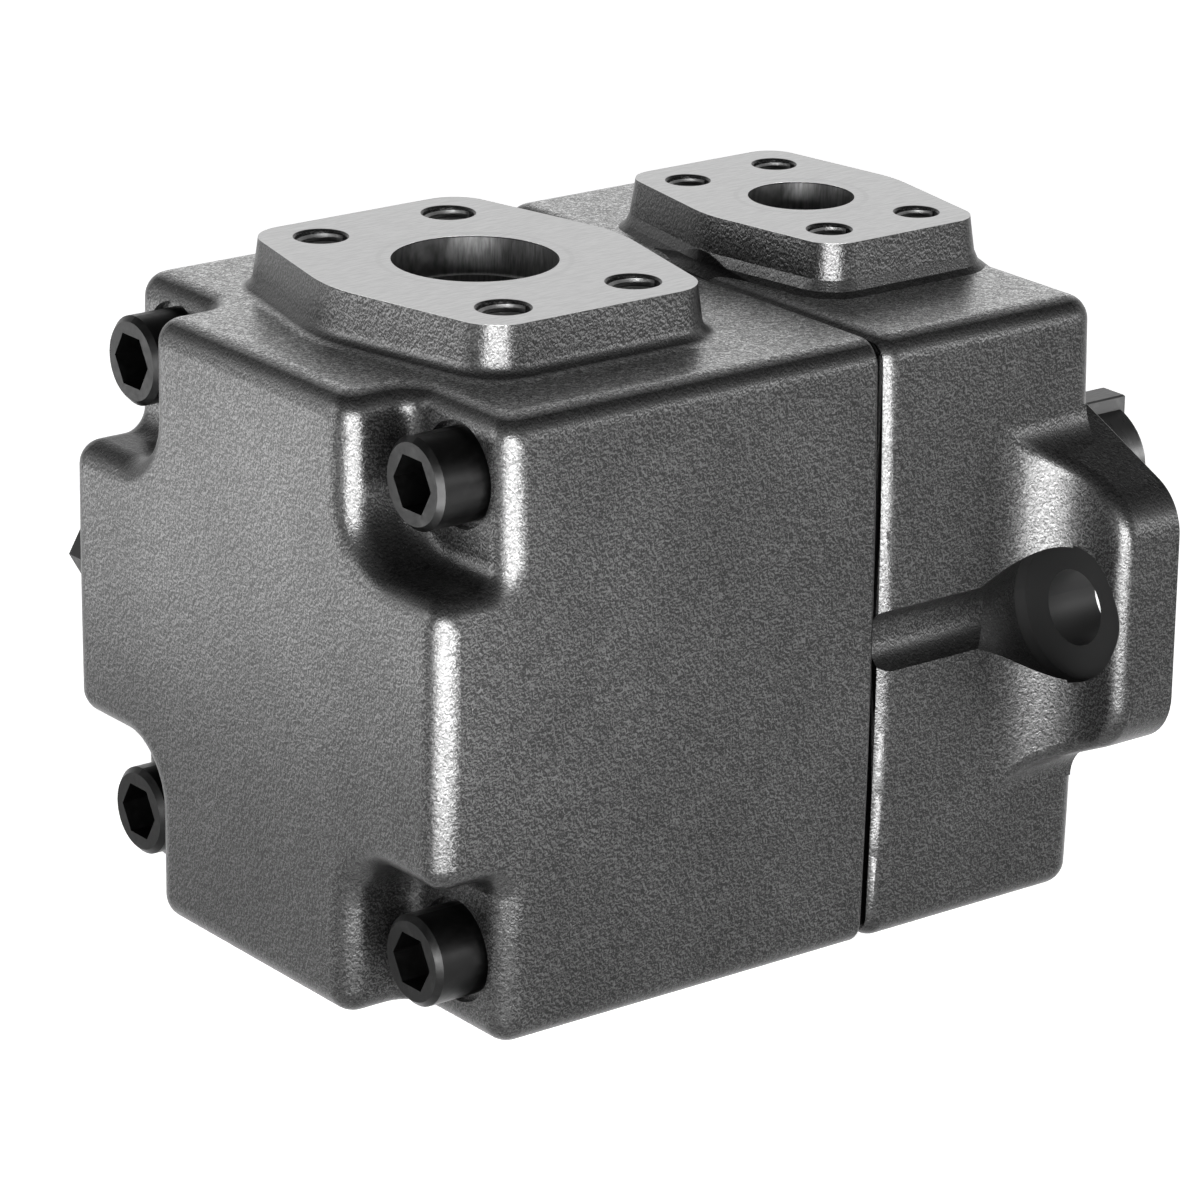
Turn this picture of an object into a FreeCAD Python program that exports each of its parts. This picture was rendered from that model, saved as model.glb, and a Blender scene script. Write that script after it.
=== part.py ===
import FreeCAD, Part
import math
import os
import Sketcher
from FreeCAD import Placement, Rotation, Vector

# Hydraulic vane pump, millimetres.
# Origin: centre of the mounting face on the shaft axis.
# +X points along the shaft to the drive end, +Z up to the ports.

doc = FreeCAD.newDocument("vane_pump")
sheet = doc.addObject("Spreadsheet::Sheet", "sizes")

# Driving dimensions, each one a cell of the sheet
SIZES = {
    # Outer form of both housings
    "body_width": 146,
    "side_radius": 1900,
    "body_top": 71,
    "body_bottom": 74,
    "corner_round": 6,
    "rear_face": 190,
    "parting": 67.5,
    "parting_gap": 1.15,
    "parting_lip": 4,
    "rear_rim_round": 1.4,
    "front_rim_round": 5,
    "front_end": 3.5,

    # Corner notches of the rear housing
    "seat_depth": 18,
    "notch_side": 38.5,
    "notch_level": 33.5,
    "notch_round": 14,
    "seat_fillet": 5,

    # Housing bolts
    "bolt_spacing": 110,
    "bolt_dia": 14,
    "bolt_head_dia": 21,
    "bolt_head_height": 14,
    "bolt_socket": 12,
    "bolt_socket_depth": 7,
    "bolt_length": 130,
    "bolt_play": 0.7,
    "bolt_seat_dia": 24,
    "bolt_seat_depth": 2,
    "bolt_end_gap": 3,
    "thread_play": 0.05,

    # Ports
    "port_height": 83,
    "boss_taper": 8,
    "boss_fillet": 4,
    "flare_height": 3.6,
    "flare_taper": 24,
    "foot_taper": 52,
    "suction_at": 127.5,
    "suction_bore": 38,
    "suction_rows": 35.7,
    "suction_span": 69.9,
    "suction_thread": 12,
    "suction_thread_depth": 22,
    "suction_bulge": 39.3,
    "suction_corner_x": 21.5,
    "suction_corner_y": 37.3,
    "suction_corner_round": 10,
    "discharge_at": 33,
    "discharge_bore": 25,
    "discharge_rows": 26.2,
    "discharge_span": 52.4,
    "discharge_thread": 10,
    "discharge_thread_depth": 19,
    "discharge_bulge": 28.3,
    "discharge_corner_x": 15.8,
    "discharge_corner_y": 30.5,
    "discharge_corner_round": 7.7,
    "discharge_floor": 36,
    "passage_lip": 4,
    "bore_step": 0.8,
    "bore_step_depth": 9,
    "thread_countersink": 1,

    # Mounting flange
    "flange_thickness": 17,
    "flange_hub": 66,
    "flange_end_y": 85.5,
    "flange_end_z": 19.5,
    "flange_end_round": 13,
    "flange_fillet": 17,
    "flange_edge_round": 4,
    "flange_corner_round": 9,
    "flange_web_root": 0.6,
    "flange_hole_dia": 18,
    "flange_hole_spacing": 160,
    "flange_seat_dia": 34,
    "flange_seat_depth": 2.5,
    "flange_seat_width": 4,
    "channel_round": 8,
    "channel_depth": 5,
    "mouth_step": 0.6,
    "mouth_length": 21,
    "mouth_taper": 18,
    "pilot_dia": 125,
    "pilot_height": 9,
    "pilot_chamfer": 1,

    # Inside of the housings
    "cavity_dia": 116,
    "cavity_floor": 150,
    "rear_hub_dia": 68,
    "spigot_length": 10.5,
    "spigot_play": 0.1,
    "spigot_chamfer": 1,
    "seal_ring_wall": 3.3,
    "seal_ring_section": 3.5,
    "chamber_dia": 84,
    "chamber_front": 35,

    # Cartridge
    "cam_rear": 132,
    "cam_width": 40,
    "cam_outer_dia": 104,
    "cam_minor_dia": 66.6,
    "cam_lift": 3.4,
    "plate_thickness": 14,
    "neck_dia": 76,
    "neck_length": 18,
    "neck_wall": 2,
    "neck_end_gap": 1,
    "neck_play": 0.05,
    "neck_seal_section": 3,
    "neck_seal_at": 9,
    "plate_shaft_play": 0.5,
    "kidney_inner_dia": 59,
    "kidney_angle": 44,
    "inlet_depth": 6,
    "kidney_depth": 6,
    "kidney_floor": 4,
    "feed_groove_dia": 44,
    "feed_groove_width": 3,
    "feed_groove_depth": 2,
    "pin_circle_dia": 90,
    "pin_dia": 5,
    "pin_play": 0.02,
    "screw_dia": 5,
    "screw_play": 0.2,
    "screw_head_dia": 8.5,
    "screw_head_height": 5,
    "screw_head_sunk": 0.5,
    "screw_socket": 4,
    "screw_socket_depth": 2.5,
    "screw_floor": 3,
    "screw_floor_gap": 1,

    # Rotor and vanes
    "rotor_dia": 65.8,
    "end_play": 0.05,
    "vane_thickness": 2,
    "vane_height": 10.5,
    "vane_land": 0.8,
    "vane_bevel": 0.5,
    "vane_play": 0.03,
    "vane_sunk": 0.1,
    "vane_root_gap": 1,
    "vane_root_dia": 4,

    # Shaft
    "shaft_end": 70,
    "shaft_dia": 28,
    "seat_dia": 30,
    "shoulder_dia": 36,
    "spline_dia": 31,
    "spline_root_dia": 26.5,
    "spline_width": 4,
    "spline_play": 0.04,
    "spline_gap": 0.5,
    "journal_dia": 22,
    "journal_play": 0.03,
    "shaft_chamfer": 1.5,
    "shaft_step": 4,
    "shaft_edge": 1,
    "key_width": 8,
    "key_height": 7,
    "key_seat": 4,
    "key_length": 45,
    "key_bevel": 0.4,
    "bush_outer_dia": 30,
    "bush_length": 18,
    "bush_edge": 0.4,
    "bush_end_gap": 2,

    # Front bearing and seal
    "bearing_rear": 28,
    "bearing_width": 16,
    "bearing_outer_dia": 62,
    "inner_shoulder_dia": 38.8,
    "outer_shoulder_dia": 53.2,
    "ball_pitch_dia": 46,
    "ball_dia": 9.525,
    "ball_play": 0.3,
    "cage_thickness": 2.4,
    "cage_width": 12,
    "circlip_thickness": 1.75,
    "circlip_groove": 1.6,
    "circlip_play": 0.05,
    "circlip_gap": 9,
    "housing_circlip_width": 4.5,
    "shaft_circlip_width": 2.7,
    "seal_width": 8,
    "seal_case_wall": 1.2,
    "seal_case_inner_dia": 42,
    "seal_play": 0.06,
    "lip_thickness": 1.2,
    "garter_section": 1.8,

    # Side plug of the rear housing
    "plug_at": 173,
    "plug_dia": 12,
    "plug_level": 0,
    "plug_head_dia": 17,
    "plug_head_height": 11,
    "plug_length": 12,
    "plug_end_gap": 4,
    "plug_seal_dia": 18,
    "plug_seal_thickness": 1.5,
}


class Size:
    """A number together with the formula that gives it from the sheet."""

    def __init__(self, value, text):
        self.value = value
        self.text = text

    def joined(self, other, sign, result, swapped=False):
        other = other if isinstance(other, Size) else Size(float(other), repr(float(other)))
        left, right = (other, self) if swapped else (self, other)
        return Size(result(left.value, right.value), "(%s %s %s)" % (left.text, sign, right.text))

    def __add__(self, other):
        return self.joined(other, "+", lambda a, b: a + b)

    def __radd__(self, other):
        return self.joined(other, "+", lambda a, b: a + b, True)

    def __sub__(self, other):
        return self.joined(other, "-", lambda a, b: a - b)

    def __rsub__(self, other):
        return self.joined(other, "-", lambda a, b: a - b, True)

    def __mul__(self, other):
        return self.joined(other, "*", lambda a, b: a * b)

    def __rmul__(self, other):
        return self.joined(other, "*", lambda a, b: a * b, True)

    def __truediv__(self, other):
        return self.joined(other, "/", lambda a, b: a / b)

    def __neg__(self):
        return Size(-self.value, "(-1 * %s)" % self.text)


def sine(size):
    """Sine of an angle in degrees."""
    return Size(math.sin(math.radians(size.value)), "sin(%s)" % size.text)


def cosine(size):
    return Size(math.cos(math.radians(size.value)), "cos(%s)" % size.text)


def tangent(size):
    return Size(math.tan(math.radians(size.value)), "tan(%s)" % size.text)


class Sizes:
    """Fills the sheet and gives each dimension by its name."""

    def __init__(self, values):
        for row, (alias, value) in enumerate(values.items(), 1):
            sheet.set("A%d" % row, alias)
            sheet.set("B%d" % row, str(value))
            sheet.setAlias("B%d" % row, alias)
            setattr(self, alias, Size(float(value), "sizes.%s" % alias))


s = Sizes(SIZES)
doc.recompute()

VANES = 12
BALLS = 9
SPLINE_TEETH = 10
CAM_POINTS = 48

# Angles of the ports round the shaft, from +Y towards +Z
SUCTION_SIDES = (45, 225)
DISCHARGE_SIDES = (135, 315)

# Chamfers of a socket screw's head and point as shares of their diameters
SCREW_RIM = 0.06
SCREW_POINT = 0.1

# Width of a ring groove as a share of the ring's section
GROOVE_SHARE = 1.25

# How far a cut starts outside the solid, or a joined part inside it
OVER = 1

# The same for the ears of the mounting flange, whose cuts and webs meet curved walls
EAR_OVER = 5

# Angle of the turned cut behind an ear, about the axis of the side wall's bulge
EAR_SWEEP = 12

PARTS = []


def bind(obj, prop, size):
    """Tie one property of an object to the sheet."""
    if isinstance(size, Size):
        obj.setExpression(prop, size.text)
    else:
        setattr(obj, prop, size)


def bind_place(obj, prop, size):
    """Tie one coordinate of a placement to the sheet where it has a formula."""
    if isinstance(size, Size):
        obj.setExpression(prop, size.text)


def number(size):
    return size.value if isinstance(size, Size) else float(size)


def new_body(label, exported=True):
    body = doc.addObject("PartDesign::Body", label)
    body.Label = label
    if exported:
        PARTS.append(body)
    return body


def new_sketch(body, name, plane, offset=None):
    """Sketch on an origin plane of its own body, moved along the plane's normal."""
    sketch = body.newObject("Sketcher::SketchObject", name)
    base = [f for f in body.Origin.OriginFeatures if f.Role == plane][0]
    sketch.AttachmentSupport = [(base, "")]
    sketch.MapMode = "FlatFace"
    if offset is not None:
        sketch.AttachmentOffset = Placement(Vector(0, 0, number(offset)), Rotation())
        if isinstance(offset, Size):
            sketch.setExpression("AttachmentOffset.Base.z", offset.text)
    return sketch


def dimension(sketch, constraint, size):
    index = sketch.addConstraint(constraint)
    if isinstance(size, Size):
        sketch.setExpression("Constraints[%d]" % index, size.text)


def pin_point(sketch, shape, end, u, w):
    """Hold one point of a sketch at (u, w) from the sketch's origin."""
    for kind, size, axis in (("DistanceX", u, -2), ("DistanceY", w, -1)):
        if abs(number(size)) < 1e-9:
            sketch.addConstraint(Sketcher.Constraint("PointOnObject", shape, end, axis))
        else:
            dimension(sketch, Sketcher.Constraint(kind, -1, 1, shape, end, number(size)), size)


def polygon(sketch, points):
    """Closed outline of straight lines; every corner is held by the sheet."""
    at = [Vector(number(u), number(w), 0) for u, w in points]
    first = sketch.GeometryCount
    count = len(points)
    for i in range(count):
        sketch.addGeometry(Part.LineSegment(at[i], at[(i + 1) % count]))
    for i in range(count):
        following = first + (i + 1) % count
        sketch.addConstraint(Sketcher.Constraint("Coincident", first + i, 2, following, 1))
    for i, (u, w) in enumerate(points):
        pin_point(sketch, first + i, 1, u, w)


def circle(sketch, u, w, diameter):
    index = sketch.addGeometry(
        Part.Circle(Vector(number(u), number(w), 0), Vector(0, 0, 1), number(diameter) / 2))
    pin_point(sketch, index, 3, u, w)
    dimension(sketch, Sketcher.Constraint("Diameter", index, number(diameter)), diameter)


def arc_between(centre, radius, start, end):
    return Part.ArcOfCircle(Part.Circle(centre, Vector(0, 0, 1), radius), start, end)


def waisted_outline(sketch, hub, end_u, end_w, end_round, shift=0):
    """Hull of a middle circle and four end circles, its long way along w.

    The straight flanks are tangent to the middle circle and to the end circles.
    """
    big, cu, cw, small = (number(x) for x in (hub, end_u, end_w, end_round))
    move = number(shift)
    reach = math.hypot(cu, cw)
    lean = math.atan2(cw, cu) - math.acos((big - small) / reach)
    arcs = []
    for side in (1, -1):
        middle = 0 if side == 1 else math.pi
        arcs.append((Vector(move, 0, 0), big, middle - lean, middle + lean, True))
        for level in (side, -side):
            centre = Vector(move + side * cu, level * cw, 0)
            if level == side:
                start, end = middle + lean, middle + math.pi / 2
            else:
                start, end = middle + math.pi / 2, middle + math.pi - lean
                centre = Vector(move - side * cu, side * cw, 0)
            arcs.append((centre, small, start, end, False))
    shapes = []
    for centre, radius, start, end, is_hub in arcs:
        index = sketch.addGeometry(arc_between(centre, radius, start, end))
        shapes.append((index, centre, radius, start, end, is_hub))
    for i, (index, centre, radius, start, end, is_hub) in enumerate(shapes):
        after = shapes[(i + 1) % len(shapes)]
        a = centre + Vector(math.cos(end), math.sin(end), 0) * radius
        b = after[1] + Vector(math.cos(after[3]), math.sin(after[3]), 0) * after[2]
        line = sketch.addGeometry(Part.LineSegment(a, b))
        sketch.addConstraint(Sketcher.Constraint("Tangent", index, 2, line, 1))
        sketch.addConstraint(Sketcher.Constraint("Tangent", line, 2, after[0], 1))
    for index, centre, radius, start, end, is_hub in shapes:
        size = hub if is_hub else end_round
        dimension(sketch, Sketcher.Constraint("Radius", index, radius), size)
        if is_hub:
            pin_point(sketch, index, 3, shift, 0)
        else:
            u = shift + end_u if centre.x > move else shift - end_u
            w = end_w if centre.y > 0 else -end_w
            pin_point(sketch, index, 3, u, w)


def pad(body, sketch, length, name, reverse=False, midplane=False, taper=None):
    feature = body.newObject("PartDesign::Pad", name)
    feature.Profile = sketch
    bind(feature, "Length", length)
    feature.Reversed = reverse
    feature.Midplane = midplane
    if taper is not None:
        bind(feature, "TaperAngle", taper)
    return feature


def pocket(body, sketch, length, name, reverse=False, midplane=False, taper=None):
    feature = body.newObject("PartDesign::Pocket", name)
    feature.Profile = sketch
    bind(feature, "Length", length)
    feature.Reversed = reverse
    feature.Midplane = midplane
    if taper is not None:
        bind(feature, "TaperAngle", taper)
    return feature


def turned(body, name, points, cut=False):
    """Solid, or with cut a hollow, of revolution about the shaft axis."""
    sketch = new_sketch(body, name + "_profile", "XZ_Plane")
    polygon(sketch, points)
    kind = "PartDesign::Groove" if cut else "PartDesign::Revolution"
    feature = body.newObject(kind, name)
    feature.Profile = sketch
    feature.ReferenceAxis = (sketch, ["H_Axis"])
    feature.Angle = 360
    return feature


def polar(body, feature, count, name):
    """Repeat a feature evenly about the shaft axis."""
    pattern = body.newObject("PartDesign::PolarPattern", name)
    pattern.Originals = [feature]
    axis = [f for f in body.Origin.OriginFeatures if f.Role == "X_Axis"][0]
    pattern.Axis = (axis, [""])
    pattern.Angle = 360
    pattern.Occurrences = count
    body.Tip = pattern
    return pattern


def edges_where(shape, test):
    """Names of the edges whose box and middle point pass the test."""
    names = []
    for i, edge in enumerate(shape.Edges):
        middle = edge.valueAt((edge.FirstParameter + edge.LastParameter) / 2)
        if test(edge.BoundBox, middle):
            names.append("Edge%d" % (i + 1))
    return names


def rounded(body, base, radius, test, name):
    """Fillet the edges of the base feature that pass the test."""
    doc.recompute()
    feature = body.newObject("PartDesign::Fillet", name)
    feature.Base = (base, edges_where(base.Shape, test))
    bind(feature, "Radius", radius)
    return feature


def chamfered(body, base, size, test, name):
    doc.recompute()
    feature = body.newObject("PartDesign::Chamfer", name)
    feature.Base = (base, edges_where(base.Shape, test))
    bind(feature, "Size", size)
    return feature


def near(a, b, slack=0.02):
    return abs(a - b) < slack


def group(label, source, positions, turn=Rotation()):
    """One node of identical separate solids, each a linked copy of the source."""
    links = []
    for i, position in enumerate(positions):
        link = doc.addObject("App::Link", "%s_%d" % (label, i + 1))
        link.LinkedObject = source
        link.LinkPlacement = Placement(Vector(*(number(size) for size in position)), turn)
        for axis, size in zip("xyz", position):
            bind_place(link, "LinkPlacement.Base.%s" % axis, size)
        links.append(link)
    compound = doc.addObject("Part::Compound", label)
    compound.Label = label
    compound.Links = links
    PARTS.append(compound)
    return compound


def block_section(sketch):
    """Cross-section of the housings: flat top and bottom, slightly bulged sides."""
    half = s.body_width / 2
    top, bottom = s.body_top, -s.body_bottom
    radius = s.side_radius.value
    reach = {}
    for level in (top, bottom):
        reach[level.value] = half.value - radius + math.sqrt(radius ** 2 - level.value ** 2)
    arcs = []
    for side in (1, -1):
        centre = side * (half - s.side_radius)
        ends = [math.atan2(level.value, side * (reach[level.value] + radius - half.value))
                for level in (bottom, top)]
        start, end = ends if side == 1 else (ends[1], ends[0] + 2 * math.pi)
        arc = sketch.addGeometry(arc_between(Vector(centre.value, 0, 0), radius, start, end))
        dimension(sketch, Sketcher.Constraint("Radius", arc, radius), s.side_radius)
        pin_point(sketch, arc, 3, centre, 0)
        arcs.append(arc)
    for level, right_end, left_end in ((top, 2, 1), (bottom, 1, 2)):
        line = sketch.addGeometry(Part.LineSegment(
            Vector(reach[level.value], level.value, 0), Vector(-reach[level.value], level.value, 0)))
        sketch.addConstraint(Sketcher.Constraint("Coincident", line, 1, arcs[0], right_end))
        sketch.addConstraint(Sketcher.Constraint("Coincident", line, 2, arcs[1], left_end))
        sketch.addConstraint(Sketcher.Constraint("Horizontal", line))
        dimension(sketch, Sketcher.Constraint("DistanceY", -1, 1, line, 1, level.value), level)


def parting_relief(body, name, at, depth, reverse):
    """Narrow step round the rim, so that the closed joint shows as a dark groove."""
    sketch = new_sketch(body, name + "_outline", "YZ_Plane", at)
    out_y, out_z = s.body_width / 2 + 10, s.body_top + 15
    polygon(sketch, [(-out_y, -out_z), (out_y, -out_z), (out_y, out_z), (-out_y, out_z)])
    in_y = s.body_width / 2 - s.parting_lip
    in_top, in_bottom = s.body_top - s.parting_lip, s.parting_lip - s.body_bottom
    polygon(sketch, [(-in_y, in_bottom), (in_y, in_bottom), (in_y, in_top), (-in_y, in_top)])
    return pocket(body, sketch, depth, name, reverse=reverse)


def port_boss(body, name, centre, hub, end_x, end_y, end_round):
    """Raised boss with tapered walls below a flat port face."""
    sketch = new_sketch(body, name + "_face", "XY_Plane", s.port_height)
    waisted_outline(sketch, hub, end_x, end_y, end_round, centre)
    depth = s.port_height - s.body_top + OVER
    boss = pad(body, sketch, depth, name, reverse=True, taper=s.boss_taper)
    top = s.body_top.value
    return rounded(body, boss, s.boss_fillet,
                   lambda box, p: near(box.ZMax, top) and near(box.ZMin, top)
                   and abs(p.x - centre.value) < hub.value + 4
                   and abs(p.y) < (end_y + end_round).value + 4
                   and box.XLength + box.YLength < 3 * hub.value, name + "_foot")


def port_bore(body, name, centre, diameter, floor):
    """Machined mouth of the port, then the narrower cast passage below it."""
    sketch = new_sketch(body, name + "_mouth", "XY_Plane", s.port_height)
    circle(sketch, centre, 0, diameter)
    pocket(body, sketch, s.bore_step_depth, name + "_machined")
    sketch = new_sketch(body, name + "_passage", "XY_Plane", s.port_height)
    circle(sketch, centre, 0, diameter - 2 * s.bore_step)
    return pocket(body, sketch, s.port_height - floor, name + "_cast")


def port_threads(body, name, centre, rows, span, thread, depth):
    """Four chamfered holes with drilled bottoms for the flange screws of a port."""
    sketch = new_sketch(body, name + "_centres", "XY_Plane", s.port_height)
    for u in (centre - rows / 2, centre + rows / 2):
        for w in (-span / 2, span / 2):
            circle(sketch, u, w, thread)
    doc.recompute()
    hole = body.newObject("PartDesign::Hole", name)
    hole.Profile = sketch
    hole.DepthType = "Dimension"
    hole.HoleCutType = "Countersink"
    hole.DrillPoint = "Angled"
    hole.DrillPointAngle = 118
    bind(hole, "Diameter", thread)
    bind(hole, "Depth", depth)
    bind(hole, "HoleCutDiameter", thread + s.thread_countersink)
    hole.HoleCutCountersinkAngle = 90
    return hole


def four_corners():
    half = s.bolt_spacing / 2
    return [(y * half, z * half) for y in (1, -1) for z in (1, -1)]


def bolt_holes(body, name, at, diameter, depth, reverse):
    sketch = new_sketch(body, name + "_centres", "YZ_Plane", at)
    for y, z in four_corners():
        circle(sketch, y, z, diameter)
    return pocket(body, sketch, depth, name, reverse=reverse)


def edges_of_faces(shape, face_test, skip):
    """Names of the edges that bound the faces that pass the test, apart from those to skip."""
    chosen = []
    for face in shape.Faces:
        if face_test(face.BoundBox):
            chosen += [edge for edge in face.Edges if not skip(edge.BoundBox)]
    names = []
    for i, edge in enumerate(shape.Edges):
        if any(edge.isSame(other) for other in chosen):
            names.append("Edge%d" % (i + 1))
    return names


def outer_faces(box):
    """True for the top, bottom, both sides and the rear or front end of a housing block."""
    flat = [near(box.ZMin, s.body_top.value), near(box.ZMax, -s.body_bottom.value),
            near(box.XMin, box.XMax) and near(box.XMin, -s.rear_face.value)]
    half = s.body_width.value / 2
    side = near(box.YMax, half, 0.05) and box.YLength < 3 or near(box.YMin, -half, 0.05) and box.YLength < 3
    return any(flat) or side


def make_rear_housing():
    body = new_body("rear_housing")
    sketch = new_sketch(body, "rear_block_section", "YZ_Plane", -s.parting)
    block_section(sketch)
    pad(body, sketch, s.rear_face - s.parting, "rear_block", reverse=True)
    sketch = new_sketch(body, "notch_outline", "YZ_Plane", -s.rear_face)
    far = s.body_width
    for y in (1, -1):
        for z in (1, -1):
            notch(sketch, y, z, far)
    base = pocket(body, sketch, s.seat_depth, "corner_notches", reverse=True)
    seat = (s.seat_depth - s.rear_face).value
    wall_y, wall_z = s.notch_side.value, s.notch_level.value
    parting = -s.parting.value

    def inner(box, p):
        beside_wall = abs(abs(p.y) - wall_y) < 5 and abs(p.z) > wall_z
        return near(box.XMin, seat) and near(box.XMax, seat) and (
            beside_wall or abs(abs(p.z) - wall_z) < 5)

    base = rounded(body, base, s.seat_fillet, inner, "seat_fillets")
    doc.recompute()
    names = edges_of_faces(base.Shape, outer_faces, lambda box: near(box.XMin, parting))
    outer = body.newObject("PartDesign::Fillet", "outer_edges")
    outer.Base = (base, names)
    bind(outer, "Radius", s.corner_round)
    finish_rear_housing(body)


def notch(sketch, y, z, far):
    """Corner cut away round one bolt, its inside corner a generous arc."""
    side, level, radius = s.notch_side, s.notch_level, s.notch_round
    r = radius.value
    corner = Vector(y * (side + radius).value, z * (level + radius).value, 0)
    towards = math.atan2(-z, -y)
    arc = sketch.addGeometry(arc_between(corner, r, towards - math.pi / 4, towards + math.pi / 4))
    begin = Vector(corner.x + r * math.cos(towards - math.pi / 4),
                   corner.y + r * math.sin(towards - math.pi / 4), 0)
    side_first = abs(begin.x - y * side.value) < 0.01
    up, out = (1, 2) if side_first else (2, 1)
    reach = far.value
    points = [Vector(y * side.value, z * (level + radius).value, 0), Vector(y * side.value, z * reach, 0),
              Vector(y * reach, z * reach, 0), Vector(y * reach, z * level.value, 0),
              Vector(y * (side + radius).value, z * level.value, 0)]
    lines = [sketch.addGeometry(Part.LineSegment(a, b)) for a, b in zip(points, points[1:])]
    for before, after in zip(lines, lines[1:]):
        sketch.addConstraint(Sketcher.Constraint("Coincident", before, 2, after, 1))
    sketch.addConstraint(Sketcher.Constraint("Tangent", lines[0], 1, arc, up))
    sketch.addConstraint(Sketcher.Constraint("Coincident", lines[3], 2, arc, out))
    pin_point(sketch, lines[0], 2, y * side, z * far)
    pin_point(sketch, lines[0], 1, y * side, z * (level + radius))
    pin_point(sketch, lines[2], 1, y * far, z * far)
    pin_point(sketch, lines[3], 1, y * far, z * level)
    pin_point(sketch, lines[3], 2, y * (side + radius), z * level)


def outside_lip(p):
    """True for a point beyond the raised middle of a parting face."""
    lip = s.parting_lip.value - 0.5
    return (abs(p.y) > s.body_width.value / 2 - lip or p.z > s.body_top.value - lip
            or p.z < lip - s.body_bottom.value)


def make_front_housing():
    body = new_body("front_housing")
    sketch = new_sketch(body, "front_block_section", "YZ_Plane", -s.front_end)
    block_section(sketch)
    base = pad(body, sketch, s.parting - s.front_end, "front_block", reverse=True)
    doc.recompute()
    parting = -s.parting.value
    outer = body.newObject("PartDesign::Fillet", "outer_edges")
    outer.Base = (base, edges_of_faces(base.Shape, outer_faces, lambda box: near(box.XMax, parting)))
    bind(outer, "Radius", s.corner_round)
    rounded(body, outer, s.front_rim_round,
            lambda box, p: near(box.XMin, parting) and near(box.XMax, parting), "rim_edges")
    parting_relief(body, "parting_relief", -s.parting, s.parting_gap, True)
    ears = mounting_flange()
    doc.recompute()
    joined = body.newObject("PartDesign::Boolean", "flange_joined")
    joined.Type = "Fuse"
    joined.setObjects([ears])
    doc.recompute()
    flared_boss(body, "discharge_boss", -s.discharge_at, s.discharge_bulge, s.discharge_corner_x,
                s.discharge_corner_y, s.discharge_corner_round)
    clearance_channels(body)
    sketch = new_sketch(body, "flange_seats", "YZ_Plane", s.flange_seat_depth - s.flange_thickness)
    for side in (1, -1):
        circle(sketch, side * s.flange_hole_spacing / 2, 0, s.flange_seat_dia)
    pocket(body, sketch, s.flange_seat_width, "flange_spotfaces")
    sketch = new_sketch(body, "flange_holes", "YZ_Plane", 0)
    for side in (1, -1):
        circle(sketch, side * s.flange_hole_spacing / 2, 0, s.flange_hole_dia)
    pocket(body, sketch, s.flange_thickness + OVER, "flange_bolt_holes")
    seat = s.pilot_dia / 2
    edge = s.pilot_chamfer
    turned(body, "pilot", [(-OVER, 0), (-OVER, seat), (s.pilot_height - edge, seat),
                           (s.pilot_height, seat - edge), (s.pilot_height, 0)])
    spigot, edge = s.cavity_dia / 2 - s.spigot_play, s.spigot_chamfer
    root, end = -s.parting + OVER, -s.parting - s.spigot_length
    turned(body, "spigot", [(root, 0), (root, spigot), (end + edge, spigot), (end, spigot - edge), (end, 0)])
    bore_front_housing(body)
    port_bore(body, "discharge", -s.discharge_at, s.discharge_bore, s.discharge_floor)
    port_threads(body, "discharge_threads", -s.discharge_at, s.discharge_rows, s.discharge_span,
                 s.discharge_thread, s.discharge_thread_depth)
    bolt_holes(body, "bolt_threads", -s.parting, s.bolt_dia + 2 * s.thread_play,
               bolt_seat() + s.bolt_length + s.bolt_end_gap + s.parting, True)


def flared_boss(body, name, centre, hub, end_x, end_y, end_round):
    """Raised boss whose walls flare out in steps where they meet the rounded top edges."""
    level, grown = s.port_height, 0
    for stage, (bottom, taper) in enumerate(((s.body_top + s.flare_height, s.boss_taper),
                                             (s.body_top + s.flare_height / 3, s.flare_taper),
                                             (s.body_top - 2 * OVER, s.foot_taper))):
        label = "%s_%d" % (name, stage + 1)
        sketch = new_sketch(body, label + "_outline", "XY_Plane", level)
        waisted_outline(sketch, hub + grown, end_x, end_y, end_round + grown, centre)
        pad(body, sketch, level - bottom, label, reverse=True, taper=taper)
        grown = grown + (level - bottom) * tangent(taper)
        level = bottom


def clearance_channels(body):
    """Half-round channels up to the flange's bolt seats, with a conical mouth at each seat."""
    axis = s.body_width / 2 - s.channel_depth + s.channel_round
    seat = s.flange_thickness - s.flange_seat_depth + s.flange_seat_width
    sketch = new_sketch(body, "channel_circles", "YZ_Plane", -s.parting)
    mouths = new_sketch(body, "mouth_circles", "YZ_Plane", -seat)
    for side in (1, -1):
        circle(sketch, side * axis, 0, 2 * s.channel_round)
        circle(mouths, side * s.flange_hole_spacing / 2, 0, s.flange_seat_dia - 2 * s.mouth_step)
    pocket(body, sketch, s.parting - seat + OVER, "clearance_channels", reverse=True)
    pocket(body, mouths, s.mouth_length, "channel_mouths", taper=-s.mouth_taper)


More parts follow.
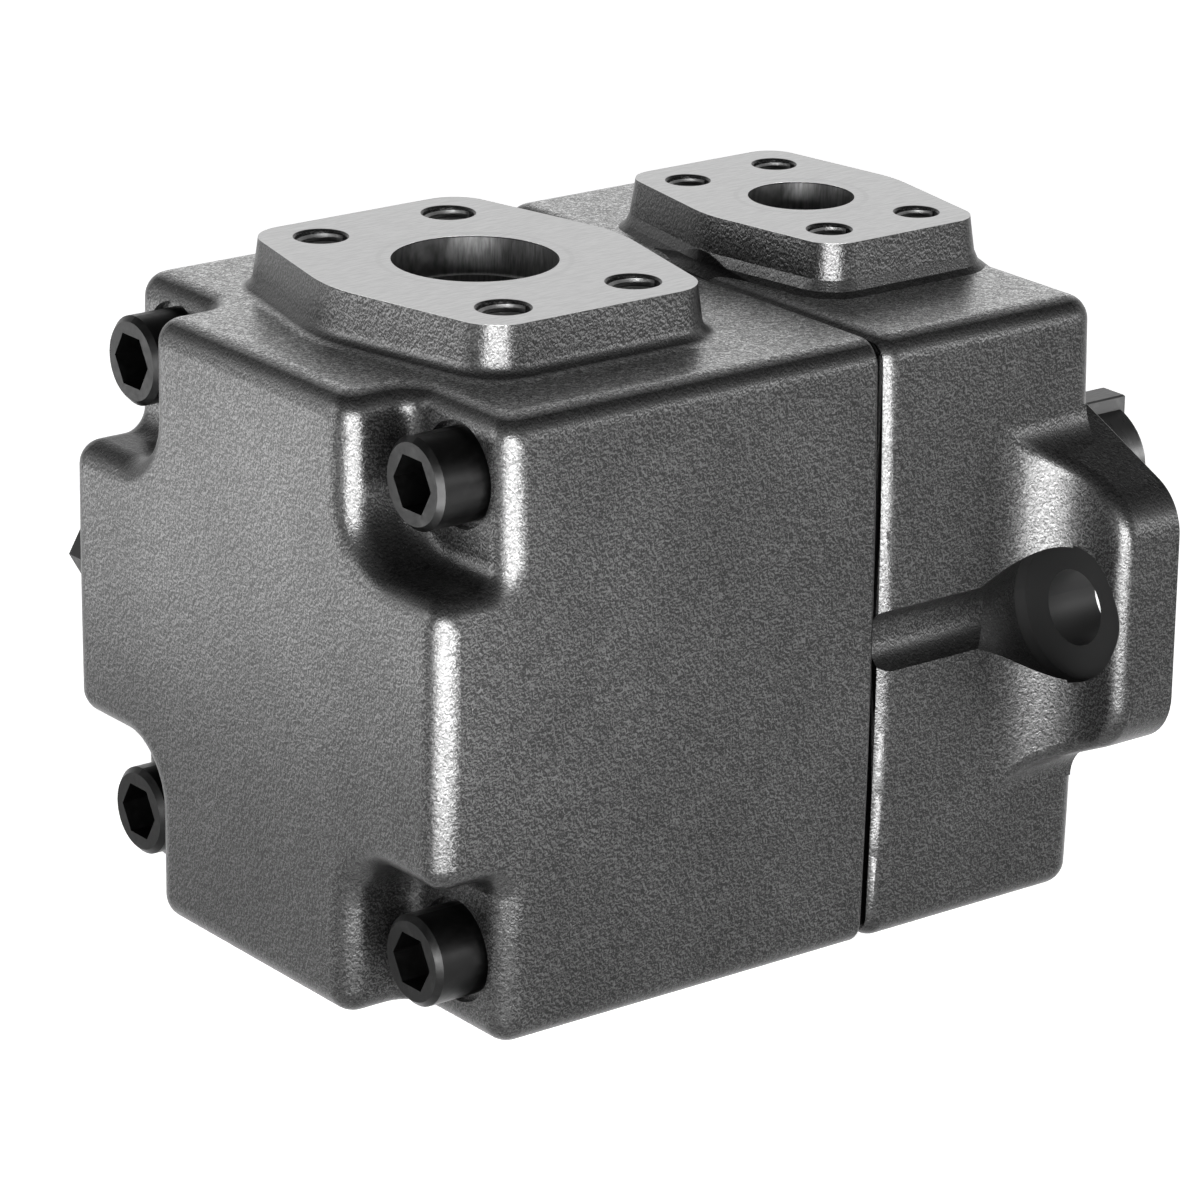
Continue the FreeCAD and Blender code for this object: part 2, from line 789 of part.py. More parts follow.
def mounting_flange():
    """Two-bolt flange plate with its ears blended into the sides by large fillets."""
    form = new_body("mounting_flange", exported=False)
    sketch = new_sketch(form, "flange_outline", "YZ_Plane", 0)
    flange_shape(sketch)
    pad(form, sketch, s.flange_thickness + s.flange_fillet, "flange_plate", reverse=True)
    front = s.front_end + s.corner_round / 2
    sketch = new_sketch(form, "corner_webs_outline", "YZ_Plane", -front)
    for y in (1, -1):
        for z in (1, -1):
            corner_web(sketch, y, z)
    pad(form, sketch, s.flange_thickness + s.flange_fillet - front, "corner_webs", reverse=True)
    inside = s.body_width / 2
    for side, name in ((1, "left"), (-1, "right")):
        sketch = new_sketch(form, name + "_ear_plan", "XY_Plane")
        blend_outline(sketch, side, inside)
        axis = sketch.addGeometry(Part.LineSegment(Vector(-s.parting.value, 0, 0), Vector(0, 0, 0)), True)
        pin_point(sketch, axis, 1, -s.parting, side * (inside - s.side_radius))
        pin_point(sketch, axis, 2, 0, side * (inside - s.side_radius))
        base = form.newObject("PartDesign::Groove", name + "_ear_back")
        base.Profile = sketch
        base.ReferenceAxis = (sketch, ["Axis0"])
        base.Midplane = True
        base.Angle = EAR_SWEEP
    back = -s.flange_thickness.value
    outer = (s.flange_end_y + s.flange_end_round).value
    wall = inside.value

    def rim(box, p):
        if box.XMax > back + 0.01 or abs(p.y) < wall + 0.1:
            return False
        upright = box.XLength < 0.01 and box.YLength < 0.01
        return not upright or near(abs(p.y), outer)

    rounded(form, base, s.flange_edge_round, rim, "ear_edges")
    return form


def flange_shape(sketch):
    """Outline of the flange: the middle circle and four end circles, long way along Y."""
    hub, end_round = s.flange_hub, s.flange_end_round
    big, small = hub.value, end_round.value
    cy, cz = s.flange_end_y.value, s.flange_end_z.value
    lean = math.atan2(cy, cz) - math.acos((big - small) / math.hypot(cy, cz))
    quarter = math.pi / 2
    plan = []
    for side in (1, -1):
        turn = 0 if side == 1 else math.pi
        top = (Vector(0, 0, 0), big, turn + quarter - lean, turn + quarter + lean, True, 0, 0)
        right = (Vector(side * cy, side * cz, 0), small, turn, turn + quarter - lean, False, side, side)
        left = (Vector(-side * cy, side * cz, 0), small, turn + quarter + lean, turn + math.pi,
                False, -side, side)
        plan += [right, top, left]
    shapes = [(sketch.addGeometry(arc_between(c, r, a, b)), c, r, a, b) for c, r, a, b, hubby, y, z in plan]
    for i, (index, centre, radius, start, end) in enumerate(shapes):
        after = shapes[(i + 1) % len(shapes)]
        first = centre + Vector(math.cos(end), math.sin(end), 0) * radius
        second = after[1] + Vector(math.cos(after[3]), math.sin(after[3]), 0) * after[2]
        line = sketch.addGeometry(Part.LineSegment(first, second))
        sketch.addConstraint(Sketcher.Constraint("Tangent", index, 2, line, 1))
        sketch.addConstraint(Sketcher.Constraint("Tangent", line, 2, after[0], 1))
    for (index, centre, radius, start, end), (c, r, a, b, hubby, y, z) in zip(shapes, plan):
        dimension(sketch, Sketcher.Constraint("Radius", index, radius), hub if hubby else end_round)
        pin_point(sketch, index, 3, y * s.flange_end_y, z * s.flange_end_z)


def blend_outline(sketch, side, inside):
    """Plan of what is cut away behind one ear, bounded by the blend's arc."""
    back, blend = -s.flange_thickness, s.flange_fillet
    far = s.flange_end_y + s.flange_end_round + EAR_OVER
    start = back - blend
    points = [(start, side * inside), (start - EAR_OVER, side * inside), (start - EAR_OVER, side * far),
              (back, side * far), (back, side * (inside + blend))]
    at = [Vector(number(u), number(w), 0) for u, w in points]
    lines = [sketch.addGeometry(Part.LineSegment(a, b)) for a, b in zip(at, at[1:])]
    for before, after in zip(lines, lines[1:]):
        sketch.addConstraint(Sketcher.Constraint("Coincident", before, 2, after, 1))
    for line, end, (u, w) in zip(lines + [lines[-1]], (1, 1, 1, 1, 2), points):
        pin_point(sketch, line, end, u, w)
    centre = Vector(start.value, side * (inside + blend).value, 0)
    quarter = (-math.pi / 2, 0) if side == 1 else (0, math.pi / 2)
    arc = sketch.addGeometry(arc_between(centre, blend.value, *quarter))
    near_wall, near_back = (1, 2) if side == 1 else (2, 1)
    sketch.addConstraint(Sketcher.Constraint("Coincident", arc, near_wall, lines[0], 1))
    sketch.addConstraint(Sketcher.Constraint("Coincident", arc, near_back, lines[-1], 2))
    dimension(sketch, Sketcher.Constraint("Radius", arc, blend.value), blend)


def flank_lean():
    """Angle in degrees between Z and the normal of the flange's sloping flanks."""
    across, up = s.flange_end_y, s.flange_end_z
    drop = s.flange_hub - s.flange_end_round
    reach = math.hypot(across.value, up.value)
    value = math.degrees(math.atan2(across.value, up.value) - math.acos(drop.value / reach))
    text = "(atan2(%s; %s) - acos(%s / sqrt(%s ^ 2 + %s ^ 2)))"
    return Size(value, text % (across.text, up.text, drop.text, across.text, up.text))


def corner_web(sketch, y, z):
    """Concave corner between one flank of the flange and the side wall, closed inside the metal."""
    lean, radius = flank_lean(), s.flange_corner_round
    wall = s.body_width / 2 - s.flange_web_root
    level = (s.flange_hub + radius - (wall + radius) * sine(lean)) / cosine(lean)
    far, low = wall + radius - radius * sine(lean), level - radius * cosine(lean)
    inner, bottom = wall - EAR_OVER, low - EAR_OVER
    points = [(y * wall, z * level), (y * inner, z * level), (y * inner, z * bottom),
              (y * far, z * bottom), (y * far, z * low)]
    at = [Vector(number(u), number(w), 0) for u, w in points]
    lines = [sketch.addGeometry(Part.LineSegment(a, b)) for a, b in zip(at, at[1:])]
    for before, after in zip(lines, lines[1:]):
        sketch.addConstraint(Sketcher.Constraint("Coincident", before, 2, after, 1))
    for line, end, (u, w) in zip(lines + [lines[-1]], (1, 1, 1, 1, 2), points):
        pin_point(sketch, line, end, u, w)
    centre = Vector(y * (wall + radius).value, z * level.value, 0)
    ends = sorted((math.atan2(point.y - centre.y, point.x - centre.x) % (2 * math.pi), line, end)
                  for point, line, end in ((at[0], lines[0], 1), (at[-1], lines[-1], 2)))
    if ends[1][0] - ends[0][0] > math.pi:
        ends = [ends[1], (ends[0][0] + 2 * math.pi,) + ends[0][1:]]
    arc = sketch.addGeometry(arc_between(centre, radius.value, ends[0][0], ends[1][0]))
    for end, (angle, line, corner) in enumerate(ends, 1):
        sketch.addConstraint(Sketcher.Constraint("Coincident", arc, end, line, corner))
    dimension(sketch, Sketcher.Constraint("Radius", arc, radius.value), radius)


def seal_ring_dia():
    """Mean diameter of the ring in the joint; its groove lies just outside the cavity."""
    return s.cavity_dia + 2 * s.seal_ring_wall + s.seal_ring_section * GROOVE_SHARE


def bore_front_housing(body):
    """Plate bore, discharge chamber, shaft opening, bearing and seal bore, ring groove."""
    neck, chamber = s.neck_dia / 2 + s.neck_play, s.chamber_dia / 2
    rear = -s.parting - s.spigot_length - OVER
    neck_end = cam_front() + s.plate_thickness + s.neck_length + s.neck_end_gap
    opening = s.shoulder_dia / 2 + s.plate_shaft_play
    bearing, clip = s.bearing_outer_dia / 2, s.bearing_outer_dia / 2 + s.circlip_groove
    clip_rear, clip_front = bearing_front(), bearing_front() + circlip_slot()
    front = s.pilot_height + OVER
    turned(body, "inner_bores", [
        (rear, 0), (rear, neck), (neck_end, neck), (neck_end, chamber), (-s.chamber_front, chamber),
        (-s.chamber_front, opening), (-s.bearing_rear, opening), (-s.bearing_rear, bearing),
        (clip_rear, bearing), (clip_rear, clip), (clip_front, clip), (clip_front, bearing),
        (front, bearing), (front, 0)], cut=True)
    mean, half = seal_ring_dia() / 2, s.seal_ring_section * GROOVE_SHARE / 2
    mouth, floor = -s.parting - OVER, -s.parting + s.seal_ring_section
    turned(body, "seal_groove", [(mouth, mean - half), (mouth, mean + half), (floor, mean + half),
                                 (floor, mean - half)], cut=True)


def finish_rear_housing(body):
    parting_relief(body, "parting_relief", -s.parting, s.parting_gap, False)
    doc.recompute()
    relief = body.Tip
    rim = -(s.parting + s.parting_gap).value
    rounded(body, relief, s.rear_rim_round,
            lambda box, p: near(box.XMin, rim) and near(box.XMax, rim) and outside_lip(p), "rim_edges")
    doc.recompute()
    port_boss(body, "suction_boss", -s.suction_at, s.suction_bulge, s.suction_corner_x,
              s.suction_corner_y, s.suction_corner_round)
    hub, bush = s.rear_hub_dia / 2, s.bush_outer_dia / 2
    mouth, floor, wall = -s.parting + OVER, -s.cavity_floor, s.cavity_dia / 2
    seat, end = rear_seat(), rear_seat() - s.bush_length - s.bush_end_gap
    turned(body, "cavity", [(mouth, 0), (mouth, wall), (floor, wall), (floor, hub), (seat, hub), (seat, bush),
                            (end, bush), (end, 0)], cut=True)
    port_bore(body, "suction", -s.suction_at, s.suction_bore, s.cavity_dia / 2 - s.passage_lip)
    port_threads(body, "suction_threads", -s.suction_at, s.suction_rows, s.suction_span,
                 s.suction_thread, s.suction_thread_depth)
    bolt_holes(body, "bolt_seats", bolt_seat(), s.bolt_seat_dia, s.bolt_seat_depth + s.seat_fillet, False)
    bolt_holes(body, "bolt_clearances", -s.parting + OVER, s.bolt_dia + 2 * s.bolt_play,
               s.rear_face - s.parting + 2 * OVER, False)
    sketch = new_sketch(body, "plug_centre", "XZ_Plane", -s.body_width / 2 - OVER)
    circle(sketch, -s.plug_at, s.plug_level, s.plug_dia)
    pocket(body, sketch, s.plug_length + s.plug_end_gap, "plug_hole", reverse=True)


def sector(sketch, inner, outer, middle, half_angle):
    """Kidney outline between two radii, its ends along the radii."""
    corners = []
    for turn, radius in ((-1, inner), (-1, outer), (1, outer), (1, inner)):
        angle = turn * half_angle + middle
        corners.append((radius * cosine(angle), radius * sine(angle)))
    at = [Vector(number(u), number(w), 0) for u, w in corners]
    sides = [sketch.addGeometry(Part.LineSegment(at[0], at[1])),
             sketch.addGeometry(Part.LineSegment(at[3], at[2]))]
    for line, (a, b) in zip(sides, ((0, 1), (3, 2))):
        pin_point(sketch, line, 1, *corners[a])
        pin_point(sketch, line, 2, *corners[b])
    begin, end = (math.radians((turn * half_angle + middle).value) for turn in (-1, 1))
    for radius, point in ((inner, 1), (outer, 2)):
        arc = sketch.addGeometry(arc_between(Vector(0, 0, 0), number(radius), begin, end))
        sketch.addConstraint(Sketcher.Constraint("Coincident", arc, 1, sides[0], point))
        sketch.addConstraint(Sketcher.Constraint("Coincident", arc, 2, sides[1], point))
        dimension(sketch, Sketcher.Constraint("Radius", arc, number(radius)), radius)


def hexagon(sketch, u, w, across_flats):
    corner = across_flats / math.sqrt(3)
    turns = [math.radians(60 * i) for i in range(6)]
    polygon(sketch, [(u + corner * math.cos(turn), w + corner * math.sin(turn)) for turn in turns])


def make_socket_screw(label, dia, head_dia, head_height, socket, socket_depth, length):
    """Socket head cap screw, head towards -X, its seat in the plane x = 0."""
    body = new_body(label, exported=False)
    rim, point = head_dia * SCREW_RIM, dia * SCREW_POINT
    turned(body, label + "_form", [
        (-head_height, 0), (-head_height, head_dia / 2 - rim), (-head_height + rim, head_dia / 2),
        (0, head_dia / 2), (0, dia / 2), (length - point, dia / 2), (length, dia / 2 - point), (length, 0)])
    sketch = new_sketch(body, label + "_socket", "YZ_Plane", -head_height)
    hexagon(sketch, 0, 0, socket)
    pocket(body, sketch, socket_depth, label + "_hexagon", reverse=True)
    return body


def make_housing_bolts():
    bolt = make_socket_screw("housing_bolt", s.bolt_dia, s.bolt_head_dia, s.bolt_head_height,
                             s.bolt_socket, s.bolt_socket_depth, s.bolt_length)
    group("housing_bolts", bolt, [(bolt_seat(), y, z) for y, z in four_corners()])


def bolt_seat():
    """Where the heads of the housing bolts sit."""
    return s.seat_depth - s.rear_face + s.bolt_seat_depth


def torus(label, mean_dia, section, x):
    """Ring of round section about the shaft axis."""
    solid = doc.addObject("Part::Torus", label)
    solid.Label = label
    bind(solid, "Radius1", mean_dia / 2)
    bind(solid, "Radius2", section / 2)
    solid.Placement = Placement(Vector(number(x), 0, 0), Rotation(Vector(0, 1, 0), 90))
    bind_place(solid, "Placement.Base.x", x)
    PARTS.append(solid)


def make_shaft():
    body = new_body("drive_shaft")
    seat, shoulder, journal = s.seat_dia / 2, s.shoulder_dia / 2, s.journal_dia / 2
    root, end = s.spline_root_dia / 2, s.shaft_dia / 2
    tail, clip = rear_seat() - s.bush_length, seat - s.circlip_groove / 2
    spline_rear, spline_front = -s.cam_rear + s.spline_gap, cam_front() + s.spline_gap
    front = bearing_front()
    turned(body, "shaft_form", [
        (tail, 0), (tail, journal - s.shaft_edge), (tail + s.shaft_edge, journal),
        (spline_rear, journal), (spline_rear, root), (spline_front, root), (spline_front, shoulder),
        (-s.bearing_rear, shoulder), (-s.bearing_rear, seat), (front, seat), (front, clip),
        (front + circlip_slot(), clip), (front + circlip_slot(), seat), (s.shaft_step, seat),
        (s.shaft_step + s.shaft_edge, end), (s.shaft_end - s.shaft_chamfer, end),
        (s.shaft_end, end - s.shaft_chamfer), (s.shaft_end, 0)])
    sketch = new_sketch(body, "spline_tooth", "YZ_Plane", spline_front)
    half = s.spline_width / 2
    inside, outside = root - OVER, s.spline_dia / 2
    polygon(sketch, [(-half, inside), (half, inside), (half, outside), (-half, outside)])
    tooth = pad(body, sketch, spline_front - spline_rear, "first_tooth", reverse=True)
    polar(body, tooth, SPLINE_TEETH, "spline")
    sketch = new_sketch(body, "keyway_outline", "XY_Plane", end - s.key_seat)
    key_plan(sketch, s.shaft_end + OVER)
    pocket(body, sketch, s.key_seat + OVER, "keyway", reverse=True)


def key_plan(sketch, end):
    """Plan of the key: its inner end round, its outer end square."""
    half = s.key_width / 2
    begin = s.shaft_end - s.key_length + half
    points = [(begin, half), (end, half), (end, -half), (begin, -half)]
    at = [Vector(number(u), number(w), 0) for u, w in points]
    lines = [sketch.addGeometry(Part.LineSegment(a, b)) for a, b in zip(at, at[1:])]
    for before, after in zip(lines, lines[1:]):
        sketch.addConstraint(Sketcher.Constraint("Coincident", before, 2, after, 1))
    for line, point, (u, w) in zip(lines + [lines[-1]], (1, 1, 1, 2), points):
        pin_point(sketch, line, point, u, w)
    arc = sketch.addGeometry(arc_between(Vector(begin.value, 0, 0), half.value, math.pi / 2, 1.5 * math.pi))
    sketch.addConstraint(Sketcher.Constraint("Coincident", arc, 1, lines[0], 1))
    sketch.addConstraint(Sketcher.Constraint("Coincident", arc, 2, lines[-1], 2))
    dimension(sketch, Sketcher.Constraint("DistanceX", -1, 1, arc, 3, begin.value), begin)


def make_key():
    body = new_body("shaft_key")
    seat = s.shaft_dia / 2 - s.key_seat
    sketch = new_sketch(body, "key_outline", "XY_Plane", seat)
    key_plan(sketch, s.shaft_end)
    base = pad(body, sketch, s.key_height, "key_bar")
    top = (seat + s.key_height).value
    chamfered(body, base, s.key_bevel, lambda box, p: near(box.ZMin, top), "key_bevels")


def bearing_front():
    return s.bearing_width - s.bearing_rear


def circlip_slot():
    """Width of a groove that holds a spring ring."""
    return s.circlip_thickness + 2 * s.circlip_play


def make_bearing():
    half = s.bearing_width / 2
    middle = half - s.bearing_rear
    pitch = s.ball_pitch_dia / 2
    for label, bore, shoulder in (("bearing_inner_ring", s.seat_dia / 2, s.inner_shoulder_dia / 2),
                                  ("bearing_outer_ring", s.outer_shoulder_dia / 2, s.bearing_outer_dia / 2)):
        body = new_body(label)
        turned(body, label + "_blank", [(middle - half, bore), (middle + half, bore),
                                        (middle + half, shoulder), (middle - half, shoulder)])
        sketch = new_sketch(body, label + "_track_circle", "XZ_Plane")
        circle(sketch, middle, pitch, s.ball_dia + s.ball_play)
        track = body.newObject("PartDesign::Groove", label + "_track")
        track.Profile = sketch
        track.ReferenceAxis = (sketch, ["H_Axis"])
        track.Angle = 360
    ball = doc.addObject("Part::Sphere", "bearing_ball")
    bind(ball, "Radius", (s.ball_dia - s.ball_play) / 2)
    turns = [2 * math.pi * i / BALLS for i in range(BALLS)]
    group("bearing_balls", ball, [(middle, pitch * math.sin(turn), pitch * math.cos(turn)) for turn in turns])
    cage = new_body("bearing_cage")
    inside, outside = pitch - s.cage_thickness / 2, pitch + s.cage_thickness / 2
    width = s.cage_width / 2
    turned(cage, "cage_ring", [(middle - width, inside), (middle + width, inside),
                               (middle + width, outside), (middle - width, outside)])
    sketch = new_sketch(cage, "ball_pocket_circle", "XY_Plane", inside - OVER)
    circle(sketch, middle, 0, s.ball_dia + s.ball_play)
    hole = pocket(cage, sketch, s.cage_thickness + 2 * OVER, "first_ball_pocket", reverse=True)
    polar(cage, hole, BALLS, "ball_pockets")


def circlip(label, inner, outer):
    """Open spring ring in front of the bearing, its gap at the bottom."""
    body = new_body(label)
    at = bearing_front() + s.circlip_play
    sketch = new_sketch(body, label + "_ring", "YZ_Plane", at)
    circle(sketch, 0, 0, 2 * outer)
    circle(sketch, 0, 0, 2 * inner)
    pad(body, sketch, s.circlip_thickness, label + "_plate")
    sketch = new_sketch(body, label + "_gap", "YZ_Plane", at)
    half, low, high = s.circlip_gap / 2, -outer - OVER, OVER - inner
    polygon(sketch, [(-half, low), (half, low), (half, high), (-half, high)])
    pocket(body, sketch, s.circlip_thickness + OVER, label + "_opening", reverse=True)


def make_bearing_clips():
    outer = s.bearing_outer_dia / 2 + s.circlip_groove - s.circlip_play
    circlip("housing_circlip", outer - s.housing_circlip_width, outer)
    inner = (s.seat_dia - s.circlip_groove) / 2 + s.circlip_play
    circlip("shaft_circlip", inner, inner + s.shaft_circlip_width)


def make_shaft_seal():
    """Metal case, rubber with an oil lip and a dust lip, and the garter spring on the oil lip."""
    outer, wall, inner = s.bearing_outer_dia / 2, s.seal_case_wall, s.seal_case_inner_dia / 2
    back = -s.seal_width
    case = new_body("seal_case")
    turned(case, "seal_case_form", [(back, outer), (0, outer), (0, inner), (-wall, inner),
                                    (-wall, outer - wall), (back, outer - wall)])
    lip, rubber = s.seat_dia / 2 + s.seal_play, s.lip_thickness
    anchor, shelf, step = inner + 2 * rubber, lip + 2 * rubber, -wall - rubber
    tip, tail = back + rubber, back + rubber / 3
    body = new_body("seal_lip")
    turned(body, "seal_lip_form", [
        (-wall, anchor), (-wall, inner), (0, inner), (0, lip + rubber), (-wall / 2, lip),
        (-wall, lip + rubber), (step, shelf), (tip + rubber, lip + rubber / 2), (tip, lip),
        (tail, lip + rubber), (tail, shelf), (step - rubber, shelf), (step, shelf + rubber), (step, anchor)])
    torus("seal_garter_spring", 2 * (shelf + s.seal_play) + s.garter_section, s.garter_section,
          tip + s.garter_section / 2)


def rear_seat():
    """Rear face of the rear side plate, where it rests on the hub of the rear housing."""
    return -s.cam_rear - s.plate_thickness


def cam_front():
    return s.cam_width - s.cam_rear


def make_rear_bush():
    body = new_body("rear_bush")
    bore, outer, rear = s.journal_dia / 2 + s.journal_play, s.bush_outer_dia / 2, rear_seat() - s.bush_length
    edge = s.bush_edge
    turned(body, "rear_bush_form", [
        (rear, bore + edge), (rear + edge, bore), (rear_seat() - edge, bore), (rear_seat(), bore + edge),
        (rear_seat(), outer - edge), (rear_seat() - edge, outer), (rear + edge, outer), (rear, outer - edge)])


def make_rear_side_plate():
    rear, face, rim = rear_seat(), -s.cam_rear, s.cam_outer_dia / 2
    opening = s.journal_dia / 2 + s.plate_shaft_play
    plate = new_body("rear_side_plate")
    turned(plate, "rear_plate_disc", [(rear, opening), (face, opening), (face, rim), (rear, rim)])
    plate_ports(plate, "rear", face, s.kidney_depth, False)
    plate_holes(plate, "rear", rear - OVER, s.plate_thickness + 2 * OVER, s.screw_dia + 2 * s.screw_play)
    sketch = new_sketch(plate, "screw_head_centres", "YZ_Plane", rear)
    for side in (1, -1):
        circle(sketch, side * s.pin_circle_dia / 2, 0, s.screw_head_dia + 2 * s.screw_play)
    pocket(plate, sketch, s.screw_head_height + s.screw_head_sunk, "screw_head_seats", reverse=True)


def neck_groove():
    """Middle and bottom radius of the ring groove on the neck of the front side plate."""
    middle = cam_front() + s.plate_thickness + s.neck_seal_at
    return middle, s.neck_dia / 2 - s.neck_seal_section - s.neck_play


def make_front_side_plate():
    rear, neck, rim = cam_front(), s.neck_dia / 2, s.cam_outer_dia / 2
    front = rear + s.plate_thickness
    end = front + s.neck_length
    opening = s.shoulder_dia / 2 + s.plate_shaft_play
    groove, bottom = neck_groove()
    half = s.neck_seal_section * GROOVE_SHARE / 2
    plate = new_body("front_side_plate")
    turned(plate, "front_plate_disc", [
        (rear, opening), (end, opening), (end, neck), (groove + half, neck), (groove + half, bottom),
        (groove - half, bottom), (groove - half, neck), (front, neck), (front, rim), (rear, rim)])
    plate_ports(plate, "front", rear, s.plate_thickness - s.kidney_floor, True)
    sketch = new_sketch(plate, "outlet_passages", "YZ_Plane", rear)
    for middle in DISCHARGE_SIDES:
        sector(sketch, s.kidney_inner_dia / 2, bottom - s.neck_wall, middle, s.kidney_angle / 2)
    pocket(plate, sketch, s.plate_thickness + s.neck_length + OVER, "neck_passages", reverse=True)
    plate_holes(plate, "front", rear - OVER, s.plate_thickness - s.screw_floor + OVER,
                s.screw_dia + 2 * s.thread_play)


def plate_ports(plate, name, face, depth, reverse):
    """On the rotor's side: inlet notches open to the rim, outlet kidneys and the vane feed groove."""
    inner = s.kidney_inner_dia / 2
    sketch = new_sketch(plate, name + "_inlets", "YZ_Plane", face)
    for middle in SUCTION_SIDES:
        sector(sketch, inner, s.cam_outer_dia / 2 + OVER, middle, s.kidney_angle / 2)
    pocket(plate, sketch, s.inlet_depth, name + "_inlet_notches", reverse=reverse)
    sketch = new_sketch(plate, name + "_outlets", "YZ_Plane", face)
    for middle in DISCHARGE_SIDES:
        sector(sketch, inner, s.cam_minor_dia / 2 + s.cam_lift, middle, s.kidney_angle / 2)
    pocket(plate, sketch, depth, name + "_outlet_kidneys", reverse=reverse)
    sketch = new_sketch(plate, name + "_feed_ring", "YZ_Plane", face)
    circle(sketch, 0, 0, s.feed_groove_dia + s.feed_groove_width)
    circle(sketch, 0, 0, s.feed_groove_dia - s.feed_groove_width)
    pocket(plate, sketch, s.feed_groove_depth, name + "_feed_groove", reverse=reverse)


def plate_holes(plate, name, at, depth, screw_hole):
    """Two screw holes level with the shaft and two pin holes above and below it."""
    sketch = new_sketch(plate, name + "_fastener_centres", "YZ_Plane", at)
    for side in (1, -1):
        circle(sketch, side * s.pin_circle_dia / 2, 0, screw_hole)
        circle(sketch, 0, side * s.pin_circle_dia / 2, s.pin_dia + 2 * s.pin_play)
    pocket(plate, sketch, depth, name + "_fastener_holes", reverse=True)


def cam_radius(angle):
    """Radius of the cam contour: two lobes with smooth rises, smallest towards +Y and -Y."""
    return s.cam_minor_dia.value / 2 + s.cam_lift.value * (1 - math.cos(2 * angle)) / 2


def make_cam_ring():
    """Cam ring; its contour is a closed curve through points of the cam formula."""
    start, width = -s.cam_rear.value, s.cam_width.value
    points = []
    for i in range(CAM_POINTS):
        angle = 2 * math.pi * i / CAM_POINTS
        radius = cam_radius(angle)
        points.append(Vector(start, radius * math.cos(angle), radius * math.sin(angle)))
    contour = Part.BSplineCurve()
    contour.interpolate(points, PeriodicFlag=True)
    cuts = [Part.Face(Part.Wire([contour.toShape()])).extrude(Vector(width, 0, 0))]
    along = Vector(1, 0, 0)
    centre = s.pin_circle_dia.value / 2
    screw_hole, pin_hole = s.screw_dia / 2 + s.screw_play, s.pin_dia / 2 + s.pin_play
    for side in (1, -1):
        cuts.append(Part.makeCylinder(screw_hole.value, width, Vector(start, side * centre, 0), along))
        cuts.append(Part.makeCylinder(pin_hole.value, width, Vector(start, 0, side * centre), along))
    blank = Part.makeCylinder(s.cam_outer_dia.value / 2, width, Vector(start, 0, 0), along)
    cam = doc.addObject("Part::Feature", "cam_ring")
    cam.Label = "cam_ring"
    cam.Shape = blank.cut(cuts)
    PARTS.append(cam)


def make_rotor():
    """Rotor with internal spline teeth and vane slots that end in round roots."""
    body = new_body("rotor")
    rear = -s.cam_rear + s.end_play
    width = s.cam_width - 2 * s.end_play
    rim = s.rotor_dia / 2
    sketch = new_sketch(body, "rotor_disc", "YZ_Plane", rear)
    circle(sketch, 0, 0, s.rotor_dia)
    circle(sketch, 0, 0, s.spline_root_dia + 2 * s.spline_play)
    pad(body, sketch, width, "rotor_blank")
    sketch = new_sketch(body, "spline_space", "YZ_Plane", rear)
    half, reach = s.spline_width / 2 + s.spline_play, s.spline_dia / 2 + s.spline_play
    root = s.spline_root_dia / 2 - OVER
    polygon(sketch, [(-half, root), (half, root), (half, reach), (-half, reach)])
    space = pocket(body, sketch, width + OVER, "first_spline_space", reverse=True)
    polar(body, space, SPLINE_TEETH, "spline_spaces")
    floor = rim - s.vane_sunk - s.vane_height - s.vane_root_gap
    half = s.vane_thickness / 2 + s.vane_play
    sketch = new_sketch(body, "vane_slot", "YZ_Plane", rear)
    polygon(sketch, [(-half, floor), (half, floor), (half, rim + OVER), (-half, rim + OVER)])
    first = pocket(body, sketch, width + OVER, "first_slot", reverse=True)
    polar(body, first, VANES, "vane_slots")
    sketch = new_sketch(body, "slot_root", "YZ_Plane", rear)
    circle(sketch, 0, floor, s.vane_root_dia)
    first = pocket(body, sketch, width + OVER, "first_root", reverse=True)
    polar(body, first, VANES, "slot_roots")


def make_vanes():
    """Flat vanes with a bevelled tip, drawn fully in, just below the rim of the rotor."""
    half, tip = s.vane_thickness / 2, s.rotor_dia / 2 - s.vane_sunk
    foot = tip - s.vane_height
    for i in range(VANES):
        label = "vane_%02d" % (i + 1)
        body = new_body(label)
        sketch = new_sketch(body, label + "_section", "YZ_Plane", -s.cam_rear + s.end_play)
        polygon(sketch, [(-half, foot), (half, foot), (half, tip - s.vane_bevel),
                         (s.vane_land - half, tip), (-half, tip)])
        pad(body, sketch, s.cam_width - 2 * s.end_play, label + "_plate")
        body.Placement = Placement(Vector(0, 0, 0), Rotation(Vector(1, 0, 0), 360.0 * i / VANES))


def make_cartridge_fasteners():
    """Two screws and two pins through the side plates and the cam ring."""
    radius = s.pin_circle_dia / 2
    blind_end = cam_front() + s.plate_thickness - s.screw_floor - s.screw_floor_gap
    seat = rear_seat() + s.screw_head_height + s.screw_head_sunk
    screw = make_socket_screw("cartridge_screw", s.screw_dia, s.screw_head_dia, s.screw_head_height,
                              s.screw_socket, s.screw_socket_depth, blind_end - seat)
    group("cartridge_screws", screw, [(seat, side * radius, 0) for side in (1, -1)])
    start = rear_seat() + s.screw_floor_gap
    pin = doc.addObject("Part::Cylinder", "dowel_pin")
    bind(pin, "Radius", s.pin_dia / 2)
    bind(pin, "Height", blind_end - start)
    pin.Placement = Placement(Vector(0, 0, 0), Rotation(Vector(0, 1, 0), 90))
    group("dowel_pins", pin, [(start, 0, side * radius) for side in (1, -1)], Rotation(Vector(0, 1, 0), 90))


